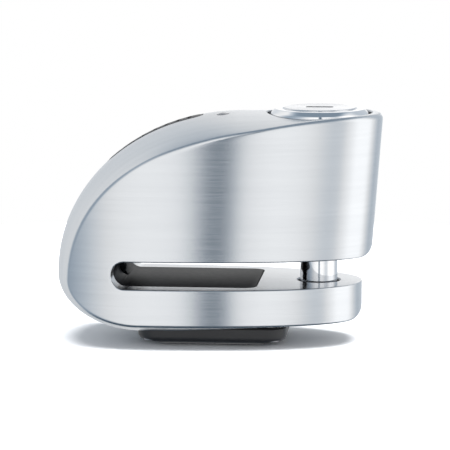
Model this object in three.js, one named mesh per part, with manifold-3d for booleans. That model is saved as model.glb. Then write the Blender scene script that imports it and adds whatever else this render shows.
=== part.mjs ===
// Disc brake lock with a push-down cylinder and a siren, as an assembly of separate pieces.
// Millimetres. +X runs towards the cylinder end, +Z up, the plane Y = 0 is the mirror plane.
// The origin is on the surface that the lock stands on, in the middle of its length and width.

import * as THREE from "three";
import { mergeVertices } from "three/addons/utils/BufferGeometryUtils.js";
import Module from "manifold-3d";

const wasm = await Module();
wasm.setup();

// ---- Driving dimensions ----

const AXIS_X = 26.6; // the cylinder's and the pin's vertical axis
const NOSE_X = -43.4; // the blunt closed end
const NOSE_Z = 18; // height of the nose's foremost point
const TOP_Z = 61.3; // flat top around the cylinder
const BELLY_Z = 2.6; // lowest line of the steel underside

const TOP_ARC_X = 6; // where the back of the lock has risen to the flat top
const BELLY_ARC_X = -20; // where the nose has come down to the underside

const WIDEST_X = -18; // the sides swell to their widest here
const HALF_WIDTH = 22;
const JAW_END_X = 38.2;
const HOUSING_END_X = 40.7; // at the slot, growing with height by the draft
const HOUSING_TOP_END_X = 43.55;
const JAW_FULLNESS = 20.5; // how squarely each level's plan closes round its end
const HOUSING_FULLNESS = 20.2;
const HOUSING_TOP_FULLNESS = 20.3;

const CROWN_NOSE = 4.6; // how far the crown falls from its ridge to the side edges
const CROWN_BACK = 6;
const CROWN_BELLY = 3.9;
const CROWN_FADE = [-14, 38]; // the crown flattens out between these X towards the cylinder

const SLOT_LOW = 16.3; // the brake disc's slot
const SLOT_HIGH = 23.5;
const SLOT_END_X = -26.6;
const MOUTH_RADIUS = 3; // the housing's rounded lower corner at the mouth
const TOE_RADIUS = 3; // the jaw's rounded lower corner at its end
const SHOULDER = 1.6; // the rounded edge of the flat top

const PIN_RADIUS = 5;
const PIN_LOW = 12; // the pin's tip, locked
const TRAVEL = 11.6; // the cylinder rises this far and takes the pin clear of the slot
const JAW_HOLE_RADIUS = 5.65;
const JAW_HOLE_LOW = 10.8;
const DRAIN_RADIUS = 1.5;

const BORE_RADIUS = 11.65; // the cylinder's guide bore
const BORE_LOW = 27.5;
const RECESS_RADIUS = 13.85; // wider mouth of the bore, which holds the dust seal
const RECESS_LOW = 57.2;
const SLEEVE_RADIUS = 11.5;
const SLEEVE_LOW = 38;
const CAP_RADIUS = 13.05;
const CAP_TOP = 62.3;
const FACE_TOP = 62.6;
const FACE_RADIUS = 9.6;

const CARRIER_RADIUS = 8.5; // the turning disc cage
const CARRIER_BORE = 7.3;
const CARRIER_LOW = 43.6;
const CARRIER_TOP = 60;
const DISC_COUNT = 8;
const DISC_RADIUS = 7.1;
const DISC_THICKNESS = 1.3;
const DISC_PITCH = 1.7;
const KEYWAY = [7.2, 2.7];
const CATCH_THROW = 2; // the catch draws in by this much over a quarter turn
const CATCH_SIZE = [6, 3.4]; // width and height
const CATCH_LOW = 41.4;
const CATCH_DEGREES = 135; // the catch points to the thick side of the housing
const CAM_RADIUS = 4.6;
const STOP_Z = 52.4; // the pin that limits the cylinder's travel
const STOP_RADIUS = 1.3;

const LINER_HALF_WIDTH = 15.7;
const LINER_THICKNESS = 1.5;
const LINER_END_X = 10.8;
const BUTTON_RADIUS = 2.9;
const BUTTON_PROUD = 1.5;

const COVER_X = [-21, 18.5]; // the black bottom cover
const COVER_HALF_WIDTH = 13.6;
const LEDGE_Z = 5;
const CAVITY_TOP = 12.4;

const GRILLE_X = [-30, -4.5]; // the siren's narrow grille along the ridge
const GRILLE_HALF_WIDTH = 3.4;
const GRILLE_THICKNESS = 1.4;
const SLIT_COUNT = 7;
const SLIT_HALF = [0.5, 2.2];
const SIREN_X = [-22.5, -8.5];
const SIREN_Z = [41, 49.5];
const SIREN_HALF_WIDTH = 2.4;
const LENS_AT = [1.2, -4];
const LENS_RADIUS = 1.6;

const GAP = 0.3; // clearance left round pieces that are set into others

// ---- Materials ----

const finish = (color, metalness, roughness) =>
  new THREE.MeshStandardMaterial({ color, metalness, roughness });
const steel = () => finish(0xc9ccd0, 1, 0.32);
const chrome = () => finish(0xe2e4e8, 1, 0.08);
const springSteel = () => finish(0x9a9ca0, 1, 0.35);
const brass = () => finish(0xc8a45a, 1, 0.35);
const glossBlack = () => finish(0x24272c, 0, 0.15);
const mattBlack = () => finish(0x1b1c1f, 0, 0.6);
const rubber = () => finish(0x101113, 0, 0.85);
const boardGreen = () => finish(0x1f5a3a, 0, 0.5);
const smokedLens = () => finish(0x3a3d42, 0, 0.12);

// ---- Solids ----

const vec2 = (x, y) => new THREE.Vector2(x, y);
const vec3 = (x, y, z) => new THREE.Vector3(x, y, z);

// A closed geometry as a solid for joining and cutting.
function solid(geometry) {
  const plain = new THREE.BufferGeometry();
  const source = geometry.index ? geometry.toNonIndexed() : geometry;
  plain.setAttribute("position", source.getAttribute("position").clone());
  const merged = mergeVertices(plain, 1e-4);
  const corners = [];
  for (let i = 0; i < merged.index.count; i += 3) {
    const [a, b, c] = [0, 1, 2].map((k) => merged.index.getX(i + k));
    if (a !== b && b !== c && c !== a) corners.push(a, b, c);
  }
  return new wasm.Manifold(
    new wasm.Mesh({
      numProp: 3,
      vertProperties: new Float32Array(merged.attributes.position.array),
      triVerts: new Uint32Array(corners),
    }),
  );
}

// A solid as a geometry again.
function geometryOf(made) {
  const mesh = made.getMesh();
  const geometry = new THREE.BufferGeometry();
  geometry.setAttribute("position", new THREE.BufferAttribute(mesh.vertProperties, 3));
  geometry.setIndex(new THREE.BufferAttribute(mesh.triVerts, 1));
  geometry.computeVertexNormals();
  return geometry;
}

const join = (...solids) => solids.reduce((whole, next) => whole.add(next));
const cut = (whole, ...tools) => tools.reduce((rest, tool) => rest.subtract(tool), whole);

// A loft through rings of equally many points; flatten gives a ring's plan for its end caps.
function loft(rings, flatten) {
  const count = rings[0].length;
  const clockwise = THREE.ShapeUtils.isClockWise(rings[0].map(flatten));
  const loops = clockwise ? rings.map((loop) => [...loop].reverse()) : rings;
  const points = loops.flat();
  const corners = [];
  for (let j = 0; j + 1 < rings.length; j += 1)
    for (let i = 0; i < count; i += 1) {
      const [a, b] = [j * count + i, j * count + ((i + 1) % count)];
      corners.push(a, b, b + count, a, b + count, a + count);
    }
  const last = (rings.length - 1) * count;
  for (const [a, b, c] of THREE.ShapeUtils.triangulateShape(loops[0].map(flatten), []))
    corners.push(c, b, a, last + a, last + b, last + c);
  const geometry = new THREE.BufferGeometry().setFromPoints(points);
  geometry.setIndex(corners);
  const made = solid(geometry);
  return made.volume() < 0 ? solid(geometry.setIndex(corners.reverse())) : made;
}

// An upright prism between two heights; the outline is in plan.
const prismZ = (outline, low, high) =>
  loft([low, high].map((z) => outline.map((p) => vec3(p.x, p.y, z))), (p) => vec2(p.x, p.y));

// A prism across the lock; the outline is in X and Z.
const prismY = (outline, low, high) =>
  loft([low, high].map((y) => outline.map((p) => vec3(p.x, y, p.y))), (p) => vec2(p.x, p.z));

// A turned piece about the vertical axis at x, y; the profile is in radius and height.
function turned(profile, segments, x = AXIS_X, y = 0) {
  const geometry = new THREE.LatheGeometry(profile.map(([r, z]) => vec2(r, z)), segments);
  geometry.rotateX(Math.PI / 2).translate(x, y, 0);
  return solid(geometry);
}

const rod = (radius, low, high, segments, x = AXIS_X, y = 0) =>
  turned([[0, low], [radius, low], [radius, high], [0, high]], segments, x, y);

const ring = (inner, outer, low, high, segments, x = AXIS_X, y = 0) =>
  turned(
    [[inner, low], [outer, low], [outer, high], [inner, high], [inner, low]],
    segments,
    x,
    y,
  );

const box = (x, y, z) => {
  const geometry = new THREE.BoxGeometry(x[1] - x[0], y[1] - y[0], z[1] - z[0]);
  geometry.translate((x[0] + x[1]) / 2, (y[0] + y[1]) / 2, (z[0] + z[1]) / 2);
  return solid(geometry);
};

// A point in plan, given by its distance out from the axis towards the catch and across that.
function towardsCatch([out, across]) {
  const angle = THREE.MathUtils.degToRad(CATCH_DEGREES);
  return vec2(AXIS_X + out, across).rotateAround(vec2(AXIS_X, 0), angle);
}

// A straight channel from near the axis out along the catch's path.
function catchChannel(half, reach, low, high) {
  const outline = [[4, -half], [reach, -half], [reach, half], [4, half]];
  return prismZ(outline.map(towardsCatch), low, high);
}

// A rod lying along X.
function rodX(profile, segments, y, z) {
  const geometry = new THREE.LatheGeometry(profile.map(([r, x]) => vec2(r, x)), segments);
  geometry.rotateZ(-Math.PI / 2).translate(0, y, z);
  return solid(geometry);
}

// A rectangle in plan with rounded corners.
function roundedPlan(x, y, radius, steps = 5) {
  const outline = [];
  const corners = [[x[1], y[1], 0], [x[0], y[1], 1], [x[0], y[0], 2], [x[1], y[0], 3]];
  for (const [cx, cy, quarter] of corners)
    for (let i = 0; i <= steps; i += 1) {
      const angle = ((quarter + i / steps) * Math.PI) / 2;
      const ex = cx === x[1] ? cx - radius : cx + radius;
      const ey = cy === y[1] ? cy - radius : cy + radius;
      outline.push(vec2(ex + radius * Math.cos(angle), ey + radius * Math.sin(angle)));
    }
  return outline;
}

// ---- The outer form ----

const smooth = (low, high, x) => THREE.MathUtils.smoothstep(x, low, high);
const mix = THREE.MathUtils.lerp;

// Half the plan outline, from the nose to the rounded end at endX, as points with y > 0.
function halfPlan(endX, fullness, steps) {
  const nose = new THREE.CubicBezierCurve(
    vec2(-47, 10), vec2(-42, 19), vec2(-30, HALF_WIDTH), vec2(WIDEST_X, HALF_WIDTH),
  );
  const side = new THREE.CubicBezierCurve(
    vec2(WIDEST_X, HALF_WIDTH), vec2(-2, HALF_WIDTH), vec2(endX, fullness), vec2(endX, 0),
  );
  return [...nose.getPoints(steps / 2).slice(0, -1), ...side.getPoints(steps)];
}

function plan(endX, fullness, steps) {
  const half = halfPlan(endX, fullness, steps);
  const mirrored = half.slice(0, -1).reverse().map((p) => vec2(p.x, -p.y));
  return [...half, ...mirrored];
}

// Half-width of the lock at x.
function halfWidth(x) {
  const half = halfPlan(HOUSING_END_X, HOUSING_FULLNESS, 40);
  const i = half.findIndex((p) => p.x >= x);
  if (i < 0) return 0;
  if (i === 0) return half[0].y;
  const [a, b] = [half[i - 1], half[i]];
  return mix(a.y, b.y, (x - a.x) / (b.x - a.x));
}

// The ridge: the outline in the mirror plane, from the flat top round the nose to the jaw's end.
// Each point carries its outward normal and the crown's depth there.
function ridge(steps) {
  const beyond = 48;
  const points = [];
  const add = (x, z, nx, nz, depth) => {
    const length = Math.hypot(nx, nz);
    points.push({ x, z, nx: nx / length, nz: nz / length, depth });
  };
  for (let i = 0; i < steps / 2; i += 1) {
    const x = mix(beyond, TOP_ARC_X, i / (steps / 2));
    add(x, TOP_Z, 0, 1, CROWN_BACK * (1 - smooth(...CROWN_FADE, x)));
  }
  const [a, b] = [TOP_ARC_X - NOSE_X, TOP_Z - NOSE_Z];
  for (let i = 0; i < steps; i += 1) {
    const t = (i / steps) * (Math.PI / 2);
    const x = TOP_ARC_X - a * Math.sin(t);
    const depth = mix(CROWN_BACK, CROWN_NOSE, i / steps) * (1 - smooth(...CROWN_FADE, x));
    add(x, NOSE_Z + b * Math.cos(t), -Math.sin(t) / a, Math.cos(t) / b, depth);
  }
  const [c, d] = [BELLY_ARC_X - NOSE_X, NOSE_Z - BELLY_Z];
  for (let i = 0; i < steps / 2; i += 1) {
    const t = (i / (steps / 2)) * (Math.PI / 2);
    const depth = mix(CROWN_NOSE, CROWN_BELLY, i / (steps / 2));
    const [x, z] = [BELLY_ARC_X - c * Math.cos(t), NOSE_Z - d * Math.sin(t)];
    add(x, z, -Math.cos(t) / c, -Math.sin(t) / d, depth);
  }
  for (let i = 0; i <= steps / 2; i += 1) {
    const x = mix(BELLY_ARC_X, beyond, i / (steps / 2));
    const fade = smooth(...CROWN_FADE, x);
    add(x, BELLY_Z + CROWN_BELLY * fade, 0, -1, CROWN_BELLY * (1 - fade));
  }
  return points;
}

// Everything under the crown: the ridge's outline, drawn in further towards the sides.
function crownSolid() {
  const points = ridge(24);
  const widths = points.map((p) => halfWidth(p.x - p.nx * p.depth));
  const rings = [];
  for (let j = 0; j <= 12; j += 1) {
    const y = mix(-25, 25, j / 12);
    rings.push(
      points.map((p, i) => {
        const drop = p.depth * (y / Math.max(widths[i], 12)) ** 2;
        return vec3(p.x - p.nx * drop, y, p.z - p.nz * drop);
      }),
    );
  }
  return loft(rings, (p) => vec2(p.x, p.z));
}

// The upright walls: the housing flares with height, the jaw is a little shorter.
function wallSolid() {
  const middle = (SLOT_LOW + SLOT_HIGH) / 2;
  const low = plan(HOUSING_END_X, HOUSING_FULLNESS, 24);
  const high = plan(HOUSING_TOP_END_X, HOUSING_TOP_FULLNESS, 24);
  const at = (z) => (z - SLOT_HIGH) / (TOP_Z - SLOT_HIGH);
  // Levels of height and how far the shoulder has drawn the outline in towards its middle.
  const levels = [[middle, 0], [TOP_Z - SHOULDER, 0]];
  for (const turn of [30, 55, 78, 100]) {
    const angle = THREE.MathUtils.degToRad(turn);
    const over = turn > 90 ? 0.2 : 0;
    levels.push([TOP_Z - SHOULDER * (1 - Math.sin(angle)) + over, SHOULDER * (1 - Math.cos(angle))]);
  }
  const housing = loft(
    levels.map(([z, inset]) =>
      low.map((p, i) => {
        const [x, y] = [mix(p.x, high[i].x, at(z)), mix(p.y, high[i].y, at(z))];
        const [dx, dy] = [Math.max(x - AXIS_X, 0), y];
        const length = Math.hypot(dx, dy) || 1;
        return vec3(x - (dx / length) * inset, y - (dy / length) * inset, z);
      }),
    ),
    (p) => vec2(p.x, p.y),
  );
  return join(housing, prismZ(plan(JAW_END_X, JAW_FULLNESS, 24), -4, middle));
}

// The slot's outline in X and Z: a round end, and a rounded corner where the housing begins.
function slotOutline() {
  const radius = (SLOT_HIGH - SLOT_LOW) / 2;
  const outline = [];
  for (let i = 0; i <= 10; i += 1) {
    const angle = Math.PI / 2 + (i / 10) * Math.PI;
    outline.push(
      vec2(SLOT_END_X + radius + radius * Math.cos(angle), SLOT_LOW + radius + radius * Math.sin(angle)),
    );
  }
  outline.push(vec2(60, SLOT_LOW), vec2(60, SLOT_HIGH + MOUTH_RADIUS));
  const centreX = HOUSING_END_X + 0.2 - MOUTH_RADIUS;
  for (let i = 0; i <= 5; i += 1) {
    const angle = -(i / 5) * (Math.PI / 2);
    outline.push(
      vec2(
        centreX + MOUTH_RADIUS * Math.cos(angle),
        SLOT_HIGH + MOUTH_RADIUS + MOUTH_RADIUS * Math.sin(angle),
      ),
    );
  }
  return outline;
}

// What the jaw's rounded lower corner leaves off, as an outline in X and Z.
function toeOutline() {
  const low = BELLY_Z + CROWN_BELLY;
  const outline = [vec2(60, low - 6), vec2(60, low + TOE_RADIUS)];
  for (let i = 0; i <= 5; i += 1) {
    const angle = -(i / 5) * (Math.PI / 2);
    outline.push(
      vec2(
        JAW_END_X - TOE_RADIUS + TOE_RADIUS * Math.cos(angle),
        low + TOE_RADIUS + TOE_RADIUS * Math.sin(angle),
      ),
    );
  }
  outline.push(vec2(JAW_END_X - TOE_RADIUS, low - 6));
  return outline;
}

// ---- Fixed pieces ----

// The liner's outline in X and Z, grown by extra on its hidden side: a pad with a hooked end.
function linerOutline(extra) {
  const radius = (SLOT_HIGH - SLOT_LOW) / 2;
  const outer = radius + LINER_THICKNESS + extra;
  const centre = vec2(SLOT_END_X + radius, SLOT_LOW + radius);
  const outline = [];
  const arc = (r, from, to) => {
    for (let i = 0; i <= 10; i += 1) {
      const angle = mix(from, to, i / 10);
      outline.push(vec2(centre.x + r * Math.cos(angle), centre.y + r * Math.sin(angle)));
    }
  };
  const inner = radius - (extra ? 1 : 0);
  arc(outer, Math.PI / 2, (3 * Math.PI) / 2);
  outline.push(vec2(LINER_END_X + extra, centre.y - outer));
  outline.push(vec2(LINER_END_X + extra, centre.y - inner));
  arc(inner, (3 * Math.PI) / 2, Math.PI / 2);
  outline.push(vec2(centre.x + 1.5 + extra, centre.y + inner));
  outline.push(vec2(centre.x + 1.5 + extra, centre.y + outer));
  return outline;
}

function linerSolid(extra) {
  const reach = LINER_HALF_WIDTH + extra;
  const footprint = roundedPlan([-40, LINER_END_X + extra], [-reach, reach], 3 + extra);
  return prismY(linerOutline(extra), -reach, reach).intersect(prismZ(footprint, 0, 40));
}

function throatLiner() {
  const height = (SLOT_HIGH + SLOT_LOW) / 2;
  const reach = BUTTON_RADIUS + GAP;
  return cut(linerSolid(0), rodX([[0, -35], [reach, -35], [reach, -20], [0, -20]], 20, 0, height));
}

// A strip of the crown's skin between two offsets below the surface, cut to a plan outline.
function skinStrip(outline, above, below) {
  const points = ridge(24).filter((p) => p.z > NOSE_Z + 4);
  const widths = points.map((p) => halfWidth(p.x - p.nx * p.depth));
  const rings = [];
  for (let j = 0; j <= 6; j += 1) {
    const y = mix(-10, 10, j / 6);
    const at = (p, i, offset) => {
      const inset = p.depth * (y / widths[i]) ** 2 + offset;
      return vec3(p.x - p.nx * inset, y, p.z - p.nz * inset);
    };
    const inside = points.filter((p) => p.x < 30);
    const outer = inside.map((p) => at(p, points.indexOf(p), -above));
    const inner = inside.map((p) => at(p, points.indexOf(p), below)).reverse();
    rings.push([...outer, ...inner]);
  }
  return loft(rings, (p) => vec2(p.x, p.z)).intersect(prismZ(outline, 20, 70));
}

const grillePlan = (extra) =>
  roundedPlan(
    [GRILLE_X[0] - extra, GRILLE_X[1] + extra],
    [-GRILLE_HALF_WIDTH - extra, GRILLE_HALF_WIDTH + extra],
    2.4 + extra,
  );

function soundGrille() {
  const slits = [];
  const [halfLength, halfWidth] = SLIT_HALF;
  for (let i = 0; i < SLIT_COUNT; i += 1) {
    const x = mix(GRILLE_X[0] + 3.5, GRILLE_X[1] - 3.5, i / (SLIT_COUNT - 1));
    slits.push(box([x - halfLength, x + halfLength], [-halfWidth, halfWidth], [30, 70]));
  }
  return cut(skinStrip(grillePlan(0), 0.1, GRILLE_THICKNESS), ...slits);
}

function lensPlan(extra) {
  const reach = LENS_RADIUS + extra;
  const [x, y] = LENS_AT.map((middle) => [middle - reach, middle + reach]);
  return roundedPlan(x, y, reach - 0.02);
}

const statusLens = () => skinStrip(lensPlan(0), 0.1, 3);

const coverPlan = (inset) =>
  roundedPlan(
    [COVER_X[0] + inset, COVER_X[1] - inset],
    [-COVER_HALF_WIDTH + inset, COVER_HALF_WIDTH - inset],
    Math.max(5 - inset / 2, 2),
  );

const screwSpots = [-1, 1].flatMap((side) =>
  [COVER_X[0] + 4, COVER_X[1] - 4].map((x) => [x, side * (COVER_HALF_WIDTH - 3.6)]),
);

function bottomCover() {
  const levels = [[LEDGE_Z - GAP, 0], [2.6, 0], [1.1, 1.4], [0, 5]];
  const shell = loft(
    levels.map(([z, inset]) => coverPlan(inset).map((p) => vec3(p.x, p.y, z))),
    (p) => vec2(p.x, p.y),
  );
  const holes = screwSpots.flatMap(([x, y]) => [
    rod(1.6, -1, 6, 16, x, y),
    rod(2.7, -1, 2.9, 20, x, y),
  ]);
  return cut(shell, ...holes);
}

function coverScrew([x, y]) {
  const body = turned(
    [[0, 1.2], [2.3, 1.2], [2.4, 1.5], [2.4, 2.85], [1.25, 2.85], [1.25, 8.4], [0, 8.4]], 18, x, y,
  );
  const hex = new THREE.CylinderGeometry(1.05, 1.05, 2, 6).rotateX(Math.PI / 2);
  return cut(body, solid(hex.translate(x, y, 1.3)));
}

function lockBody() {
  const radius = (SLOT_HIGH - SLOT_LOW) / 2;
  const height = SLOT_LOW + radius;
  const cavity = join(
    prismZ(roundedPlan([-12.8, 10.6], [-11.5, 11.5], 2), -1, CAVITY_TOP),
    prismZ(roundedPlan([-19, 14.5], [-6.4, 6.4], 2), -1, CAVITY_TOP),
  );
  const tools = [
    prismY(slotOutline(), -30, 30),
    prismY(toeOutline(), -30, 30),
    turned(
      [[0, BORE_LOW], [BORE_RADIUS, BORE_LOW], [BORE_RADIUS, RECESS_LOW], [RECESS_RADIUS, RECESS_LOW],
        [RECESS_RADIUS, 70], [0, 70]],
      48,
    ),
    rod(PIN_RADIUS + 0.5, 20, 30, 32),
    turned([[0, BORE_LOW - 1.8], [6.9, BORE_LOW - 1.8], [6.9, 30], [0, 30]], 32),
    rod(JAW_HOLE_RADIUS, JAW_HOLE_LOW, 20, 32),
    rod(DRAIN_RADIUS, 0, 12, 12),
    linerSolid(GAP),
    prismZ(coverPlan(-GAP), -2, LEDGE_Z),
    cavity,
    ...screwSpots.map(([x, y]) => rod(1.25 + GAP, 0, 9.2, 12, x, y)),
    box([-38, -30], [-4.2, 4.2], [8.6, height + 4.4]), // the disc switch's pocket
    box([-31, -17], [-3, 3], [8.6, 11.6]), // its wires' way to the cavity
    rodX([[0, -31], [3.7, -31], [3.7, -24], [0, -24]], 20, 0, height),
    skinStrip(grillePlan(GAP), 4, GRILLE_THICKNESS + GAP),
    prismZ(
      roundedPlan([GRILLE_X[0] + 2.5, GRILLE_X[1] - 2], [-SIREN_HALF_WIDTH - GAP, SIREN_HALF_WIDTH + GAP], 2),
      SIREN_Z[0] - 0.5,
      66,
    ),
    skinStrip(lensPlan(GAP), 4, 5),
    box([-9.5, LENS_AT[0] + 0.8], [-4.6, -2], [54.8, 56.6]), // the lens's wires
    box([-33.5, -30.5], [-1.6, 1.6], [20, 42.5]), // the siren's wires
    box([-33.5, -24], [-1.6, 1.6], [40.6, 42.5]),
    rodX([[0, -10], [STOP_RADIUS + GAP, -10], [STOP_RADIUS + GAP, 17], [0, 17]], 12, 0, STOP_Z),
    catchChannel(3.4, RECESS_RADIUS - 0.05, SLEEVE_LOW + GAP, RECESS_LOW + 1),
  ];
  return cut(crownSolid().intersect(wallSolid()), ...tools);
}

const dustSeal = () => ring(CAP_RADIUS + 0.12, RECESS_RADIUS - 0.12, RECESS_LOW + 0.3, 60.4, 48);
const pinSeal = () => ring(PIN_RADIUS + 0.08, 6.6, BORE_LOW - 1.5, BORE_LOW - 0.2, 32);

const travelStop = () =>
  rodX([[0, -7.6], [STOP_RADIUS, -7.6], [STOP_RADIUS, 16.2], [0, 16.2]], 12, 0, STOP_Z);

function siren() {
  const [width, radius] = [SIREN_HALF_WIDTH, SIREN_HALF_WIDTH - 0.1];
  const can = prismZ(roundedPlan(SIREN_X, [-width, width], radius), ...SIREN_Z);
  return cut(can, rod(1.2, SIREN_Z[1] - 1.5, SIREN_Z[1] + 1, 10, (SIREN_X[0] + SIREN_X[1]) / 2));
}

const discSwitch = () =>
  cut(box([-37.6, -33.8], [-3.2, 3.2], [17, 23]), box([-38, -36.9], [-1, 1], [19, 21]));

function sensorButton() {
  const height = (SLOT_HIGH + SLOT_LOW) / 2;
  const profile = [
    [0, -32.1], [1, -32.1], [1, -30.2], [3.4, -30.2], [3.4, -29.2], [BUTTON_RADIUS, -29.2],
  ];
  for (let i = 0; i <= 5; i += 1) {
    const angle = (i / 5) * (Math.PI / 2);
    profile.push([BUTTON_RADIUS * Math.cos(angle), SLOT_END_X + BUTTON_PROUD * Math.sin(angle)]);
  }
  return rodX(profile, 20, 0, height);
}

const circuitBoard = () =>
  cut(prismZ(roundedPlan([-18.4, -9], [-5.8, 5.8], 1), 10.2, 11.4), rod(1.1, 9, 12, 10, -16.4, 3.8));

const batteries = () => [
  rod(9.9, 5.6, 8.4, 32, 1.4),
  rod(9.9, 8.7, 11.5, 32, 1.4),
];

const coverGasket = () =>
  cut(
    prismZ(coverPlan(0.5), LEDGE_Z - GAP + 0.02, LEDGE_Z - 0.02),
    prismZ(coverPlan(6.2), 4, 6),
    ...screwSpots.map(([x, y]) => rod(1.6, 4, 6, 12, x, y)),
  );

// ---- Pieces on the cylinder ----

function cylinderSleeve() {
  const body = turned(
    [[PIN_RADIUS + 0.1, SLEEVE_LOW], [SLEEVE_RADIUS - 0.5, SLEEVE_LOW], [SLEEVE_RADIUS, SLEEVE_LOW + 0.5],
      [SLEEVE_RADIUS, 57], [10.6, 57], [10.6, 59.6], [CARRIER_RADIUS + 0.12, 59.6],
      [CARRIER_RADIUS + 0.12, SLEEVE_LOW + 2.2], [PIN_RADIUS + 0.1, SLEEVE_LOW + 2.2],
      [PIN_RADIUS + 0.1, SLEEVE_LOW]],
    48,
  );
  const stopReach = STOP_RADIUS + GAP;
  return cut(
    body,
    catchChannel(3.2, 14, CATCH_LOW - 0.15, CATCH_LOW + CATCH_SIZE[1] + 0.2),
    // The groove that the travel stop runs in.
    box(
      [AXIS_X - 14, AXIS_X - 9.9], [-stopReach, stopReach],
      [STOP_Z - TRAVEL - stopReach, STOP_Z + stopReach],
    ),
  );
}

const cylinderCap = () =>
  turned(
    [[FACE_RADIUS + 0.15, 60.2], [10.9, 60.2], [10.9, 57.3], [CAP_RADIUS - 0.2, 57.3], [CAP_RADIUS, 57.6],
      [CAP_RADIUS, 61], [11.9, CAP_TOP], [10.1, CAP_TOP], [FACE_RADIUS + 0.15, CAP_TOP - 0.4],
      [FACE_RADIUS + 0.15, 60.2]],
    56,
  );

const lockPin = () =>
  turned(
    [[0, PIN_LOW], [PIN_RADIUS - 0.9, PIN_LOW], [PIN_RADIUS, PIN_LOW + 0.9], [PIN_RADIUS, 40.4],
      [7.4, 40.4], [7.4, 41.2], [0, 41.2]],
    36,
  );

function spring(x, y, low, high, radius, wire, turns, steps, along) {
  class Coil extends THREE.Curve {
    getPoint(t) {
      const angle = t * turns * 2 * Math.PI;
      const end = wire * 1.05;
      const rise = mix(low + end, high - end, t);
      const [u, v] = [radius * Math.cos(angle), radius * Math.sin(angle)];
      return along === "z" ? vec3(x + u, y + v, rise) : vec3(rise, y + u, x + v);
    }
  }
  const section = new THREE.Shape();
  section.absarc(0, 0, wire, 0, Math.PI * 2);
  return solid(
    new THREE.ExtrudeGeometry(section, { steps, extrudePath: new Coil(), curveSegments: 3 }),
  );
}

// ---- Pieces on the plug ----

const keywayBox = (low, high) =>
  box(
    [AXIS_X - KEYWAY[0] / 2, AXIS_X + KEYWAY[0] / 2], [-KEYWAY[1] / 2, KEYWAY[1] / 2], [low, high],
  );

function plugCarrier() {
  const cage = turned(
    [[0, CARRIER_LOW], [CARRIER_RADIUS, CARRIER_LOW], [CARRIER_RADIUS, CARRIER_TOP - 1.3],
      [CARRIER_BORE, CARRIER_TOP - 1.3], [CARRIER_BORE, CARRIER_LOW + 1.4], [0, CARRIER_LOW + 1.4]],
    40,
  );
  const slot = box([AXIS_X - 10, AXIS_X - 6], [-1.3, 1.3], [CARRIER_LOW + 1.4, 58]);
  return cut(cage, slot);
}

function detainerDisc(index) {
  const low = CARRIER_LOW + 1.7 + index * DISC_PITCH;
  const notch = 0.9;
  const angle = Math.PI + (index % 4) * 0.35;
  const disc = cut(rod(DISC_RADIUS, low, low + DISC_THICKNESS, 32), keywayBox(low - 1, low + 3));
  const [x, y] = [AXIS_X + DISC_RADIUS * Math.cos(angle), DISC_RADIUS * Math.sin(angle)];
  return cut(disc, rod(notch, low - 1, low + 3, 10, x, y));
}

const sidebar = () => rod(0.6, CARRIER_LOW + 2, 57.6, 10, AXIS_X - 7.85);

const drillGuard = () => cut(rod(8.4, 58.9, 60, 32), keywayBox(58, 61));

function plugFace() {
  const disc = turned(
    [[0, 60.4], [FACE_RADIUS, 60.4], [FACE_RADIUS, FACE_TOP - 0.5], [FACE_RADIUS - 0.5, FACE_TOP],
      [0, FACE_TOP]],
    48,
  );
  return cut(disc, keywayBox(60, 64));
}

// The driver below the cage: over a quarter turn its radius falls by the catch's throw.
function driverCam() {
  const outline = [];
  const radiusAt = (degrees) =>
    CAM_RADIUS - (CATCH_THROW * THREE.MathUtils.clamp(CATCH_DEGREES - degrees, 0, 90)) / 90;
  for (let degrees = 0; degrees < 360; degrees += 9) {
    const angle = THREE.MathUtils.degToRad(degrees);
    const radius = radiusAt(degrees);
    outline.push(vec2(AXIS_X + radius * Math.cos(angle), radius * Math.sin(angle)));
  }
  return prismZ(outline, CATCH_LOW + 0.1, CARRIER_LOW - GAP);
}

// The catch: a tongue with a narrow nose on the driver, cut away under the turning cage.
function catchTongue() {
  const [nose, reach, half] = [CAM_RADIUS + GAP, BORE_RADIUS + CATCH_THROW - 0.2, CATCH_SIZE[0] / 2];
  const side = [[nose, 1.1], [nose + 1, 1.1], [nose + 3, half], [reach, half]];
  const outline = [...side, ...side.map(([out, across]) => [out, -across]).reverse()];
  const tongue = prismZ(outline.map(towardsCatch), CATCH_LOW, CATCH_LOW + CATCH_SIZE[1]);
  const clearance = CARRIER_RADIUS + CATCH_THROW + GAP;
  return cut(tongue, catchChannel(5, clearance, CARRIER_LOW - GAP, CARRIER_LOW + 3));
}

// ---- Assembly ----

const lock = new THREE.Group();

function place(name, made, material) {
  const mesh = new THREE.Mesh(geometryOf(made), material);
  mesh.name = name;
  lock.add(mesh);
}

place("lock_body", lockBody(), steel());
place("throat_liner", throatLiner(), glossBlack());
place("sensor_button", sensorButton(), glossBlack());
const buttonSpring = spring((SLOT_HIGH + SLOT_LOW) / 2, 0, -32.2, -30.3, 2.1, 0.22, 2, 30, "x");
place("sensor_spring", buttonSpring, springSteel());
place("disc_switch", discSwitch(), mattBlack());
place("sound_grille", soundGrille(), mattBlack());
place("siren", siren(), mattBlack());
place("status_lens", statusLens(), smokedLens());
place("dust_seal", dustSeal(), rubber());
place("pin_seal", pinSeal(), rubber());
place("travel_stop", travelStop(), steel());
place("circuit_board", circuitBoard(), boardGreen());
batteries().forEach((cell, i) => place("coin_cell_" + (i + 1), cell, chrome()));
place("cover_gasket", coverGasket(), rubber());
place("bottom_cover", bottomCover(), mattBlack());
screwSpots.forEach((spot, i) => place("cover_screw_" + (i + 1), coverScrew(spot), springSteel()));

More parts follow.
